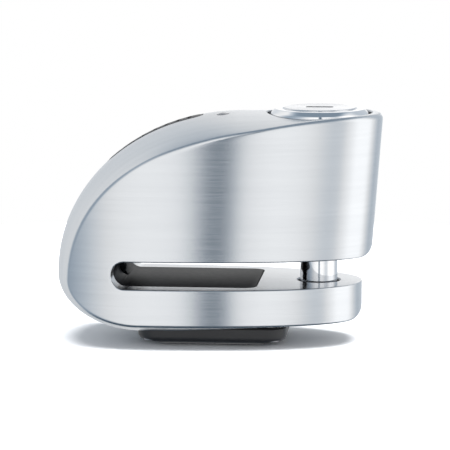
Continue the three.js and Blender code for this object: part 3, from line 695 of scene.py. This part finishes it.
# Each finish: its darkest and lightest colour, then the range of its roughness.
MATERIALS = [
    brushed_metal("brushed_steel", (0.65, 0.668, 0.69), (0.715, 0.733, 0.752), (0.20, 0.26),
                  bump=0.1, across=9000, along=90, uv="brush", anisotropic=0.85),
    brushed_metal("machined_steel", (0.42, 0.43, 0.45), (0.55, 0.56, 0.58), (0.3, 0.42),
                  bump=0.15, across=5000, along=300),
    brushed_metal("chrome", (0.80, 0.81, 0.83), (0.86, 0.87, 0.88), (0.05, 0.11),
                  bump=0.0, across=4000, along=60),
    brushed_metal("face_steel", (0.62, 0.63, 0.65), (0.74, 0.75, 0.77), (0.2, 0.32),
                  bump=0.2, across=6000, along=300, anisotropic=0.5),
    brushed_metal("spring_steel", (0.34, 0.34, 0.36), (0.48, 0.48, 0.50), (0.25, 0.4),
                  bump=0.1, across=5000, along=200),
    brushed_metal("brass", (0.62, 0.45, 0.20), (0.78, 0.60, 0.30), (0.2, 0.34),
                  bump=0.1, across=5000, along=150),
    grained("cell_can", (0.62, 0.63, 0.64), (0.74, 0.75, 0.76), (0.18, 0.3), scale=1500, Metallic=1.0),
    grained("gloss_black", (0.008, 0.009, 0.011), (0.014, 0.015, 0.018), (0.36, 0.46), scale=900,
            Specular_IOR_Level=0.03, Specular_Tint=(0.5, 0.66, 1.0, 1)),
    grained("matt_black", (0.010, 0.010, 0.011), (0.020, 0.020, 0.022), (0.42, 0.6), scale=4000, bump=0.35),
    grained("rubber", (0.008, 0.008, 0.008), (0.016, 0.016, 0.016), (0.7, 0.85), scale=3000, bump=0.3),
    grained("board", (0.010, 0.075, 0.035), (0.018, 0.11, 0.05), (0.3, 0.45), scale=1200),
    grained("smoked_lens", (0.045, 0.048, 0.054), (0.075, 0.08, 0.09), (0.06, 0.1), scale=900,
            Coat_Weight=0.6),
]
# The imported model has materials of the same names, so Blender puts a number behind these.
FINISH = {material.name.split(".")[0]: material for material in MATERIALS}
print(len(FINISH), "finishes")


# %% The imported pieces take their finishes
def paint(made, finish):
    made.data.materials.clear()
    made.data.materials.append(FINISH[finish])
    return made


for name, cad_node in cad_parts.items():
    slot = cad_node.data.materials[0].name.split(".")[0]
    paint(cad_node, "machined_steel" if slot == "brushed_steel" else slot)
print("painted", len(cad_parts), "packed pieces")

# %% [markdown]
# ## Cutting the casting
#
# The bores and pockets are closed tools, cut with the exact solver. They go in groups whose members
# do not touch one another. Faces left by a tool keep the tool's machined finish, and the brushed
# skin keeps its own material and UV map.

# %% Tools for the bores
BORE_RADIUS, BORE_LOW = 11.65, 27.5
SLEEVE_RADIUS, SLEEVE_LOW = 11.5, 38.0
RECESS_RADIUS, RECESS_LOW = 13.85, 57.2
MOUTH_CHAMFER = 0.3
PIN_RADIUS = 5.0
SEAT_RADIUS, SEAT_DEPTH = 6.9, 1.8  # where the pin's wiper sits, under the bore
JAW_HOLE_RADIUS, JAW_HOLE_LOW, DRAIN_RADIUS = 5.65, 10.8, 1.5


def tool(made):
    return paint(made, "machined_steel")


def bore_tools():
    mouth = RECESS_RADIUS + MOUTH_CHAMFER + 0.2
    bore = turned("bore_tool", [
        (0, 20), (PIN_RADIUS + 0.5, 20), (PIN_RADIUS + 0.5, BORE_LOW - SEAT_DEPTH),
        (SEAT_RADIUS, BORE_LOW - SEAT_DEPTH), (SEAT_RADIUS, BORE_LOW), (BORE_RADIUS, BORE_LOW),
        (BORE_RADIUS, RECESS_LOW), (RECESS_RADIUS, RECESS_LOW), (RECESS_RADIUS, TOP_Z - MOUTH_CHAMFER),
        (mouth, TOP_Z + 0.2), (mouth, 70), (0, 70)], 160, (AXIS_X, 0))
    rim = JAW_HOLE_RADIUS + 0.45
    seat = turned("jaw_hole_tool", [
        (0, 0), (DRAIN_RADIUS, 0), (DRAIN_RADIUS, JAW_HOLE_LOW), (JAW_HOLE_RADIUS, JAW_HOLE_LOW),
        (JAW_HOLE_RADIUS, SLOT_LOW - 0.35), (rim, SLOT_LOW + 0.1), (rim, 19.9), (0, 19.9)], 96, (AXIS_X, 0))
    return [tool(bore), tool(seat)]


# %% Tools for the liner, the bottom cover and the strip and lens on the ridge
LINER_HALF_WIDTH, LINER_THICKNESS, LINER_END_X = 15.7, 1.5, 10.8
COVER_X, COVER_HALF_WIDTH, LEDGE_Z, CAVITY_TOP = (-21.0, 18.5), 13.6, 5.0, 12.4
GRILLE_X, GRILLE_HALF_WIDTH, GRILLE_CORNER, GRILLE_THICKNESS = (-30.0, -4.5), 3.4, 2.4, 1.4
LENS_AT, LENS_RADIUS = (1.2, -4.0), 1.6
GAP = 0.3


def liner_outline(extra, steps=28):
    centre = (SLOT_END_X + SLOT_RADIUS, SLOT_MIDDLE)
    outer, inner = SLOT_RADIUS + LINER_THICKNESS + extra, SLOT_RADIUS - (1 if extra else 0)
    hook = centre[0] + 1.5 + extra
    return (arc(*centre, outer, 90, 270, steps)
            + [(LINER_END_X + extra, centre[1] - outer), (LINER_END_X + extra, centre[1] - inner)]
            + arc(*centre, inner, 270, 90, steps)
            + [(hook, centre[1] + inner), (hook, centre[1] + outer)])


def liner_solid(name, extra):
    reach = LINER_HALF_WIDTH + extra
    made = prism(name, liner_outline(extra), -reach, reach, "y")
    plan = rounded_box((-40, LINER_END_X + extra), (-reach, reach), 3 + extra)
    return cut(made, prism(name + "_plan", plan, 0, 40), operation="INTERSECT")


def cover_plan(inset, steps=8):
    return rounded_box((COVER_X[0] + inset, COVER_X[1] - inset),
                       (-COVER_HALF_WIDTH + inset, COVER_HALF_WIDTH - inset), max(5 - inset / 2, 2), steps)


def ridge_at(x):
    """Length along the ridge where it passes over x, on the upper side."""
    upper = RIDGE[:, 1] > NOSE_Z + 4
    return float(np.interp(-x, -RIDGE[upper, 0], RIDGE_LENGTH[upper]))


def lid_plate(name, outline, above, below, dome=0.0, rings=10, corner=0.0):
    """A plate that lies in the lid. The outline is in ridge length and y, about its own middle."""
    outline = np.asarray(outline, float)
    middle, n = outline.mean(0), len(outline)
    shares = np.linspace(0, 1, rings)[1:]

    def ring(share, lift):
        spot = middle + (outline - middle) * share
        return lid(spot[:, 0], spot[:, 1], lift)

    layers = [ring(share, above + dome * (1 - share**2) - (corner if share == 1 else 0)) for share in shares]
    layers += [ring(share, -below) for share in reversed(shares)]
    ends = [np.atleast_2d(lid(*middle, lift)) for lift in (above + dome, -below)]
    last = 1 + (len(layers) - 1) * n
    faces = [(0, 1 + k, 1 + (k + 1) % n) for k in range(n)]
    for a in range(1, last, n):
        faces += [(a + k, a + n + k, a + n + (k + 1) % n, a + (k + 1) % n) for k in range(n)]
    faces += [(last + n, last + (k + 1) % n, last + k) for k in range(n)]
    return tidy(link_mesh(name, np.concatenate([ends[0], *layers, ends[1]]), faces))


def fine_outline(outline, step=0.5):
    """The same closed outline with points no further apart than a step."""
    out = []
    for a, b in zip(outline, outline[1:] + outline[:1]):
        count = max(1, math.ceil(math.dist(a, b) / step))
        shares = [k / count for k in range(count)]
        out += [(a[0] + (b[0] - a[0]) * t, a[1] + (b[1] - a[1]) * t) for t in shares]
    return out


def grille_outline(extra):
    along = ridge_at(GRILLE_X[1]) - extra, ridge_at(GRILLE_X[0]) + extra
    reach = GRILLE_HALF_WIDTH + extra
    return fine_outline(rounded_box(along, (-reach, reach), GRILLE_CORNER + extra))


def lens_outline(extra):
    reach = LENS_RADIUS + extra
    along, across = ((at - reach, at + reach) for at in (ridge_at(LENS_AT[0]), LENS_AT[1]))
    return rounded_box(along, across, reach - 0.02, 12)


def box_tool(name, x, y, z):
    return tool(prism(name, [(x[0], y[0]), (x[1], y[0]), (x[1], y[1]), (x[0], y[1])], *z))


def rod_x(name, radius, x, height):
    profile = [(0, x[0]), (radius, x[0]), (radius, x[1]), (0, x[1])]
    return tool(turned(name, profile, 48, (0, height), "x"))


paint(body, "brushed_steel")
cut(body, *bore_tools(), tool(liner_solid("liner_tool", GAP)),
    tool(prism("cover_tool", cover_plan(-0.2), -2, LEDGE_Z)),
    tool(lid_plate("grille_tool", grille_outline(0.12), 4, GRILLE_THICKNESS + GAP, rings=4)),
    tool(lid_plate("lens_tool", lens_outline(0.08), 4, 5, rings=3)))
print("casting after the outer cuts:", len(body.data.polygons), "faces")

# %% Tools for the pockets that the siren, the switch, the cells and their wires lie in
CATCH_DEGREES = 135  # the catch points to the thick side of the housing
STOP_Z, STOP_RADIUS = 52.4, 1.3
STOP_REACH = STOP_RADIUS + GAP
SIREN_HALF_WIDTH = 2.4
SCREW_SPOTS = [(x, side * (COVER_HALF_WIDTH - 3.6)) for side in (-1, 1)
               for x in (COVER_X[0] + 4, COVER_X[1] - 4)]


def towards_catch(out, across):
    turn = math.radians(CATCH_DEGREES)
    return (AXIS_X + out * math.cos(turn) - across * math.sin(turn),
            out * math.sin(turn) + across * math.cos(turn))


def channel(name, half, reach, low, high):
    corners = [(4, -half), (reach, -half), (reach, half), (4, half)]
    return tool(prism(name, [towards_catch(*c) for c in corners], low, high))


def plan_tool(name, x, y, z):
    return tool(prism(name, rounded_box(x, y, 2, 4), *z))


def screw_hole(spot):
    return tool(turned("screw_hole", [(0, 0), (1.55, 0), (1.55, 9.2), (0, 9.2)], 24, spot))


siren_y = (-SIREN_HALF_WIDTH - GAP, SIREN_HALF_WIDTH + GAP)
cut(body, plan_tool("cell_pocket", (-12.8, 10.6), (-11.5, 11.5), (-1, CAVITY_TOP)),
    plan_tool("siren_pocket", (GRILLE_X[0] + 2.5, GRILLE_X[1] - 2), siren_y, (40.5, 66)),
    box_tool("switch_pocket", (-38, -30), (-4.2, 4.2), (8.6, 24.3)),
    channel("catch_channel", half=3.4, reach=13.8, low=SLEEVE_LOW + GAP, high=RECESS_LOW + 1),
    *[screw_hole(spot) for spot in SCREW_SPOTS])
cut(body, plan_tool("board_pocket", (-19, 14.5), (-6.4, 6.4), (-1, CAVITY_TOP)),
    box_tool("lens_wires", (-9.5, LENS_AT[0] + 0.8), (-4.6, -2), (54.8, 56.6)),
    rod_x("button_bore", 3.7, (-31, -24), SLOT_MIDDLE))
cut(body, rod_x("stop_bore", STOP_REACH, (-10, 17), STOP_Z),
    box_tool("wire_riser", (-33.5, -30.5), (-1.6, 1.6), (20, 42.5)),
    box_tool("wire_way", (-31, -17), (-3, 3), (8.6, 11.6)))
cut(body, box_tool("siren_wires", (-33.5, -24), (-1.6, 1.6), (40.6, 42.5)))
finished(body, "lock", "brushed_steel", "lock_body", sharp=30)
print("casting finished:", len(body.data.polygons), "faces,", round(volume_of(body.data) * 1e6, 1), "cm3")

# %% [markdown]
# ## The slot's black liner and the sensor button
#
# A black moulded liner wraps the closed end of the slot and lies on its floor, so that the brake
# disc does not ring against steel. Its edges are rounded by a Bevel modifier, which is then applied.
# The button that feels the disc stands out of its round end.

# %% Liner and button
def bevelled(made, width, segments=3, angle=35):
    bevel = made.modifiers.new("bevel", "BEVEL")
    bevel.width, bevel.segments = width * MM, segments
    bevel.limit_method, bevel.angle_limit = "ANGLE", math.radians(angle)
    bevel.use_clamp_overlap = True
    return bake_modifiers(made)


BUTTON_RADIUS, BUTTON_PROUD = 2.9, 1.5
STEM_RADIUS, STEM_END_X = 1.0, -32.1
FLANGE_RADIUS, FLANGE_X = 3.4, (-30.2, -29.2)

hole = BUTTON_RADIUS + GAP
hole_profile = [(0, -35), (hole, -35), (hole, -20), (0, -20)]
liner = paint(liner_solid("slot_liner", 0), "gloss_black")
cut(liner, paint(turned("liner_hole", hole_profile, 64, (0, SLOT_MIDDLE), "x"), "gloss_black"))
bevelled(liner, 0.3)
finished(liner, "lock", "gloss_black", "throat_liner", sharp=40)

button_profile = [
    (0, STEM_END_X), (STEM_RADIUS, STEM_END_X), (STEM_RADIUS, FLANGE_X[0]),
    (FLANGE_RADIUS, FLANGE_X[0]), (FLANGE_RADIUS, FLANGE_X[1]), (BUTTON_RADIUS, FLANGE_X[1]),
]
button_profile += [(BUTTON_RADIUS * math.cos(t), SLOT_END_X + BUTTON_PROUD * math.sin(t))
                   for t in np.linspace(0, math.pi / 2, 10)]
button = paint(turned("disc_button", button_profile, 64, (0, SLOT_MIDDLE), "x"), "gloss_black")
finished(button, "button", "gloss_black", "sensor_button")
print("liner:", len(liner.data.polygons), "faces; button:", len(button.data.polygons))

# %% [markdown]
# ## The cylinder head
#
# The lock's round face is a stack of turned pieces: a rubber wiper in the mouth of the bore, a
# polished cap with a bevelled rim, and a satin face that the key turns. Each is a spun profile with
# its corners rounded, because a polished edge shows as a bright line and a sharp one shows nothing.

# %% Turned pieces of the cylinder
CAP_RADIUS, CAP_LOW, CAP_TOP = 13.05, 57.3, 62.3
NECK_RADIUS = 10.6  # the sleeve's neck, which the cap grips
FACE_RADIUS, FACE_LOW, FACE_TOP = 9.6, 60.4, 62.6
PIN_LOW, PIN_HEAD_RADIUS, PIN_HEAD = 12.0, 7.4, (40.4, 41.2)
CARRIER_RADIUS = 8.5  # the cage of discs, inside the sleeve
KEYWAY = (7.2, 2.7)
TRAVEL = 11.6

axis = (AXIS_X, 0)
seal = turned("wiper_seal", rounded_profile([
    (CAP_RADIUS + 0.12, 57.5, 0), (RECESS_RADIUS - 0.12, 57.5, 0), (RECESS_RADIUS - 0.12, 60.4, 0.2),
    (13.45, 60.15, 0.05), (CAP_RADIUS + 0.12, 60.4, 0.15), (CAP_RADIUS + 0.12, 57.5, 0)]), 160, axis)
finished(paint(seal, "rubber"), "lock", "rubber", "dust_seal")

ring_x, ring_z = (PIN_RADIUS + 0.08, SEAT_RADIUS - 0.3), (BORE_LOW - 1.5, BORE_LOW - 0.2)
pin_ring = turned("pin_wiper", rounded_profile([
    (ring_x[0], ring_z[0], 0), (ring_x[1], ring_z[0], 0.3), (ring_x[1], ring_z[1], 0.3),
    (ring_x[0], ring_z[1], 0.3), (ring_x[0], ring_z[0], 0)]), 96, axis)
finished(paint(pin_ring, "rubber"), "lock", "rubber", "pin_seal")

well = FACE_RADIUS + 0.15
cap = turned("cylinder_rim", rounded_profile([
    (well, 60.2, 0), (NECK_RADIUS + 0.3, 60.2, 0), (NECK_RADIUS + 0.3, CAP_LOW, 0.1),
    (CAP_RADIUS, CAP_LOW, 0.3), (CAP_RADIUS, 61.0, 0.5), (11.9, CAP_TOP, 0.35), (10.1, CAP_TOP, 0.2),
    (well, 61.9, 0.1), (well, 60.2, 0)]), 192, axis)
finished(paint(cap, "chrome"), "cylinder", "chrome", "cylinder_cap")

pin_way, cage_way, floor_z = PIN_RADIUS + 0.1, CARRIER_RADIUS + 0.12, SLEEVE_LOW + 2.2
sleeve = turned("cylinder_barrel", rounded_profile([
    (pin_way, SLEEVE_LOW, 0), (SLEEVE_RADIUS, SLEEVE_LOW, 0.6), (SLEEVE_RADIUS, 57, 0.3),
    (NECK_RADIUS, 57, 0), (NECK_RADIUS, 59.6, 0.2), (cage_way, 59.6, 0.2), (cage_way, floor_z, 0),
    (pin_way, floor_z, 0), (pin_way, SLEEVE_LOW, 0)]), 144, axis)
stop_groove = box_tool("stop_groove", (AXIS_X - 14, AXIS_X - 9.9), (-STOP_REACH, STOP_REACH),
                       (STOP_Z - TRAVEL - STOP_REACH, STOP_Z + STOP_REACH))
catch_window = channel("catch_window", half=3.2, reach=14, low=41.25, high=45.0)
for made in (sleeve, stop_groove, catch_window):
    paint(made, "brass")
cut(sleeve, stop_groove, catch_window)
finished(sleeve, "cylinder", "brass", "cylinder_sleeve")

pin = turned("steel_pin", rounded_profile([
    (0, PIN_LOW, 0), (PIN_RADIUS - 0.9, PIN_LOW, 0.3), (PIN_RADIUS, PIN_LOW + 0.9, 0.3),
    (PIN_RADIUS, PIN_HEAD[0], 0), (PIN_HEAD_RADIUS, PIN_HEAD[0], 0.1), (PIN_HEAD_RADIUS, PIN_HEAD[1], 0.1),
    (0, PIN_HEAD[1], 0)]), 128, axis)
finished(paint(pin, "chrome"), "cylinder", "chrome", "lock_pin")

face = turned("key_face", rounded_profile([
    (0, FACE_LOW, 0), (FACE_RADIUS, FACE_LOW, 0.1), (FACE_RADIUS, FACE_TOP, 0.45),
    (0, FACE_TOP, 0)]), 160, axis)
long, wide = KEYWAY[0] / 2, KEYWAY[1] / 2
keyhole = prism("keyhole", rounded_box((AXIS_X - long, AXIS_X + long), (-wide, wide), 0.4, 4), 60, 64)
cut(paint(face, "face_steel"), tool(keyhole))
finished(face, "plug", "face_steel", "plug_face")
print("turned pieces made for the cylinder, cap", len(cap.data.polygons), "faces")

# %% [markdown]
# ## The strip and the lens on the ridge
#
# A narrow black strip with sound slits covers the siren, and a small smoked lens sits beside it. Both
# lie in the lid's own curvature, so they are lofted from the same lid formula. The slits are
# instances: a Geometry Nodes tree puts one cutter at each step of a line, and the result is cut out
# of the strip.

# %% Geometry Nodes helpers
def node_tree(name, sockets):
    """An empty Geometry Nodes tree with named inputs for its sizes, and its geometry sockets."""
    tree = bpy.data.node_groups.new(name, "GeometryNodeTree")
    tree.is_modifier = True
    tree.interface.new_socket("Geometry", in_out="INPUT", socket_type="NodeSocketGeometry")
    tree.interface.new_socket("Geometry", in_out="OUTPUT", socket_type="NodeSocketGeometry")
    for label, kind in sockets.items():
        tree.interface.new_socket(label, in_out="INPUT", socket_type=kind)
    return tree, tree.nodes.new("NodeGroupInput"), tree.nodes.new("NodeGroupOutput")


def run_tree(made, tree, values):
    """Runs a tree on an object and leaves plain mesh. Inputs are set by their identifiers."""
    modifier = made.modifiers.new(tree.name, "NODES")
    modifier.node_group = tree
    for item in tree.interface.items_tree:
        if item.item_type == "SOCKET" and item.in_out == "INPUT" and item.name in values:
            modifier[item.identifier] = values[item.name]
    return bake_modifiers(made)


def closing(tree, geometry, sink, material):
    """Realize Instances and Set Material, the two nodes that every tree here ends with."""
    real = node(tree, "GeometryNodeRealizeInstances", {"Geometry": geometry})
    final = node(tree, "GeometryNodeSetMaterial", {"Geometry": real.outputs[0]})
    final.inputs["Material"].default_value = FINISH[material]
    tree.links.new(final.outputs[0], sink.inputs[0])


# %% Sound strip
SLIT_COUNT, SLIT_WIDTH, SLIT_LENGTH, SLIT_END = 7, 1.0, 4.4, 3.5


def slit_cutters():
    """One upright cutter for each slit, instanced on a mesh line along the strip."""
    tree, source, sink = node_tree("slit_row", {
        "Count": "NodeSocketInt", "Start": "NodeSocketVector", "Step": "NodeSocketVector",
        "Size": "NodeSocketVector"})
    line = node(tree, "GeometryNodeMeshLine", {
        "Count": source.outputs["Count"], "Start Location": source.outputs["Start"],
        "Offset": source.outputs["Step"]})
    cutter = node(tree, "GeometryNodeMeshCube", {"Size": source.outputs["Size"]})
    placed = node(tree, "GeometryNodeInstanceOnPoints", {
        "Points": line.outputs[0], "Instance": cutter.outputs[0]})
    closing(tree, placed.outputs[0], sink, "matt_black")
    first, last = GRILLE_X[1] - SLIT_END, GRILLE_X[0] + SLIT_END
    holder = link_mesh("slit_cutters", [], [])
    return run_tree(holder, tree, {
        "Count": SLIT_COUNT, "Start": (first * MM, 0, 50 * MM),
        "Step": ((last - first) / (SLIT_COUNT - 1) * MM, 0, 0),
        "Size": (SLIT_WIDTH * MM, SLIT_LENGTH * MM, 40 * MM)})


strip = lid_plate("sound_strip", grille_outline(-0.1), 0.1, GRILLE_THICKNESS, rings=16, corner=0.15)
cut(paint(strip, "matt_black"), slit_cutters())
finished(strip, "lock", "matt_black", "sound_grille")
lens = lid_plate("alarm_lens", lens_outline(-0.03), 0.05, 3, dome=0.28, rings=8)
finished(paint(lens, "smoked_lens"), "lock", "smoked_lens", "status_lens")
print("strip:", len(strip.data.polygons), "faces with", SLIT_COUNT, "slits")

# %% [markdown]
# ## The bottom cover and its screws
#
# Batteries are changed from below, so the black cover is a moulded tray with a soft round rim and
# shallow grip grooves, held by four small socket screws. One screw is modelled, and Geometry Nodes
# sets it at the four corners. The return spring is a curve spiral swept into wire the same way.

# %% Cover
# Heights, and how far the outline has drawn in there.
COVER_LEVELS = [(4.7, 0.0), (2.6, 0.0), (2.1, 0.12), (1.6, 0.45), (1.1, 1.05), (0.7, 1.85), (0.35, 3.0),
                (0.1, 4.2), (0.0, 5.0)]
SCREW_WELL = [(0, -1), (2.8, -1), (2.7, 0.8), (2.7, 2.9), (1.6, 2.9), (1.6, 6), (0, 6)]
GROOVE_HALF = (0.45, 7.5)
GROOVE_COUNT, GROOVE_X = 10, (-10, 8)


def lofted(name, rings):
    """A closed loft through rings of equally many points, capped with flat faces."""
    n = len(rings[0])
    points = [p for ring in rings for p in ring]
    faces = [(j * n + i, j * n + (i + 1) % n, (j + 1) * n + (i + 1) % n, (j + 1) * n + i)
             for j in range(len(rings) - 1) for i in range(n)]
    faces += [tuple(range(n))[::-1], tuple(range(len(points) - n, len(points)))]
    return tidy(link_mesh(name, points, faces))


cover_rings = [[(x, y, z) for x, y in cover_plan(inset, 12)] for z, inset in COVER_LEVELS]
cover = paint(lofted("battery_cover", cover_rings), "matt_black")
for spot in SCREW_SPOTS:
    cut(cover, paint(turned("screw_well", SCREW_WELL, 40, spot), "matt_black"))
across, along = GROOVE_HALF
grooves = [box_tool("groove", (x - across, x + across), (-along, along), (-1, 0.5))
           for x in np.linspace(*GROOVE_X, GROOVE_COUNT)]
cut(cover, *[paint(groove, "matt_black") for groove in grooves])
finished(cover, "lock", "matt_black", "bottom_cover")


# %% Screws and spring
HEX_REACH = 1.05
SPRING_TURNS, SPRING_RADIUS, SPRING_WIRE = 4.0, 9.2, 0.85


def screw_set():
    one = turned("screw_pattern", rounded_profile([
        (0, 1.2, 0), (2.4, 1.2, 0.3), (2.4, 2.85, 0.1), (1.25, 2.85, 0), (1.25, 8.4, 0.3), (0, 8.4, 0)]), 40)
    cut(one, prism("hexagon", arc(0, 0, HEX_REACH, 0, 360, 6)[:-1], 0, 2.3))
    tree, source, sink = node_tree("screw_set", {"Screw": "NodeSocketObject"})
    pattern = node(tree, "GeometryNodeObjectInfo", {"Object": source.outputs["Screw"]})
    placed = node(tree, "GeometryNodeInstanceOnPoints", {
        "Points": source.outputs["Geometry"], "Instance": pattern.outputs["Geometry"]})
    closing(tree, placed.outputs[0], sink, "spring_steel")
    holder = link_mesh("cover_screws", [(x, y, 0) for x, y in SCREW_SPOTS], [])
    run_tree(holder, tree, {"Screw": one})
    bpy.data.objects.remove(one)
    return holder


screws = screw_set()
finished(screws, "lock", "spring_steel", *[f"cover_screw_{k}" for k in (1, 2, 3, 4)])


def coil(name, turns, radius, wire, low, high):
    """A compression spring about the cylinder's axis: a spiral swept with a round section."""
    tree, source, sink = node_tree("coil_spring", dict.fromkeys(
        ("Turns", "Radius", "Wire", "Height"), "NodeSocketFloat"))
    spiral = node(tree, "GeometryNodeCurveSpiral", {
        "Resolution": 40, "Rotations": source.outputs["Turns"], "Start Radius": source.outputs["Radius"],
        "End Radius": source.outputs["Radius"], "Height": source.outputs["Height"]})
    section = node(tree, "GeometryNodeCurvePrimitiveCircle", {
        "Resolution": 14, "Radius": source.outputs["Wire"]})
    swept = node(tree, "GeometryNodeCurveToMesh", {
        "Curve": spiral.outputs[0], "Profile Curve": section.outputs[0], "Fill Caps": True})
    moved = node(tree, "GeometryNodeTransform", {
        "Geometry": swept.outputs[0], "Translation": (AXIS_X * MM, 0, (low + wire) * MM)})
    closing(tree, moved.outputs[0], sink, "spring_steel")
    holder = link_mesh(name, [], [])
    return run_tree(holder, tree, {"Turns": turns, "Radius": radius * MM, "Wire": wire * MM,
                                   "Height": (high - low - 2 * wire) * MM})


spring = coil("push_spring", SPRING_TURNS, SPRING_RADIUS, SPRING_WIRE, BORE_LOW + 0.1, SLEEVE_LOW - 0.1)
finished(spring, "lock", "spring_steel", "return_spring")
print("screws:", len(screws.data.polygons), "faces; spring:", len(spring.data.polygons))

# %% [markdown]
# ## The studio
#
# Brushed metal has hardly any colour of its own: it shows the room. So the room is drawn as light in
# the world shader, a ring of brighter and darker panels round the horizon under a darker ceiling.
# The panel in front has a narrow unlit gap, which the side wall shows as one dark upright band. The
# dark ceiling draws the thin line along the edge. Where the room is dark it is also a little blue, as
# shaded corners are. The floor and the backdrop are plain and white, and one lamp lays the shadow.

# %% World light
# Light round the horizon: azimuth in degrees from the front towards the cylinder end, and level.
AROUND = [
    (-180, 1.35), (-171, 1.02), (-160, 0.88), (-146, 0.85), (-134, 0.95), (-115, 1.05), (-100, 0.8),
    (-82, 0.5), (-60, 0.56), (-45, 0.72), (-32, 0.92), (-20, 1.1), (-4, 1.2), (0.2, 1.2),
    (2.6, 0.2), (7.2, 0.2),  # the unlit gap
    (9.6, 1.12), (20, 1.22), (30, 1.14), (39, 0.94), (46, 0.84), (54, 0.86), (62, 1.1),
    (74, 1.4), (98, 1.4), (114, 0.95), (130, 0.70), (164, 0.76), (180, 1.35),
]
OVERHEAD_LEVEL, UNDER_LEVEL, BACKDROP_LEVEL = 0.38, 0.12, 1.0
BAND_TOP, BAND_FOOT = (54, 10), (-46, 10)  # elevation in degrees, and softness
SHADE_TINT, WHITE = (0.42, 0.70, 1.0, 1), (1, 1, 1, 1)


def step(tree, value, middle, soft):
    """Rises from 0 to 1 round a middle value."""
    return node(tree, "ShaderNodeMapRange", {
        "Value": value, "From Min": math.radians(middle - soft), "From Max": math.radians(middle + soft)},
        interpolation_type="SMOOTHSTEP").outputs[0]


def blend_values(tree, factor, first, second):
    values = {"Factor": factor, 2: first, 3: second}
    return node(tree, "ShaderNodeMix", values, data_type="FLOAT").outputs[0]


def blend_colours(tree, factor, first, second):
    values = {"Factor": factor, 6: first, 7: second}
    return node(tree, "ShaderNodeMix", values, data_type="RGBA").outputs[2]


def ring_light(tree, azimuth):
    """The level of light at an azimuth, read from a colour ramp that holds the panels."""
    share = node(tree, "ShaderNodeMapRange", {"Value": azimuth, "From Min": -math.pi, "From Max": math.pi})
    ring = node(tree, "ShaderNodeValToRGB", {"Fac": share.outputs[0]})
    brightest = max(level for _, level in AROUND)
    stops = ring.color_ramp.elements
    for degrees, _ in AROUND[1:-1]:
        stops.new((degrees + 180) / 360)
    for stop, (_, level) in zip(stops, AROUND):
        stop.color = (level / brightest,) * 3 + (1,)
    return node(tree, "ShaderNodeMath", {0: ring.outputs[0], 1: brightest}, operation="MULTIPLY").outputs[0]


def studio_world():
    world = bpy.data.worlds.new("studio")
    world.use_nodes = True
    tree = world.node_tree
    direction = node(tree, "ShaderNodeTexCoord").outputs["Generated"]
    x, y, z = node(tree, "ShaderNodeSeparateXYZ", {0: direction}).outputs
    front = node(tree, "ShaderNodeMath", {0: y, 1: -1.0}, operation="MULTIPLY").outputs[0]
    azimuth = node(tree, "ShaderNodeMath", {0: x, 1: front}, operation="ARCTAN2").outputs[0]
    elevation = node(tree, "ShaderNodeMath", {0: z}, operation="ARCSINE").outputs[0]
    level = blend_values(tree, step(tree, elevation, *BAND_TOP), ring_light(tree, azimuth), OVERHEAD_LEVEL)
    level = blend_values(tree, step(tree, elevation, *BAND_FOOT), UNDER_LEVEL, level)
    seen = node(tree, "ShaderNodeLightPath").outputs["Is Camera Ray"]
    background = tree.nodes["Background"]
    shown = blend_colours(tree, seen, blend_colours(tree, level, SHADE_TINT, WHITE), WHITE)
    tree.links.new(shown, background.inputs["Color"])
    tree.links.new(blend_values(tree, seen, level, BACKDROP_LEVEL), background.inputs["Strength"])
    bpy.context.scene.world = world


studio_world()
bpy.context.scene.view_settings.view_transform = "Standard"
bpy.context.scene.view_settings.look = "None"
print("light round the horizon in", len(AROUND), "levels")

# %% Floor and lamp
FLOOR_RADIUS, FLOOR_Z = 220, (-0.1, -0.02)


def lamp(name, place, target, size, power):
    light = bpy.data.lights.new(name, "AREA")
    light.shape, light.size, light.energy = "DISK", size, power
    made = bpy.data.objects.new(name, light)
    bpy.context.scene.collection.objects.link(made)
    made.location = place
    made.rotation_mode = "QUATERNION"
    made.rotation_quaternion = (Vector(target) - Vector(place)).to_track_quat("-Z", "Y")
    return made


floor = prism("floor", arc(0, 0, FLOOR_RADIUS, 0, 360, 96)[:-1], *FLOOR_Z)
floor_finish, *_ = new_material(
    "floor", Base_Color=(0.93, 0.935, 0.945, 1), Roughness=0.9, Specular_IOR_Level=0.1)
floor.data.materials.append(floor_finish)
floor.visible_glossy = False  # the steel shows the room's light, not the tabletop
overhead = lamp("overhead", place=(0.05, -0.1, 0.8), target=(0, 0, 0.02), size=0.8, power=16.0)
overhead.visible_glossy = False
print("floor radius", FLOOR_RADIUS, "mm")
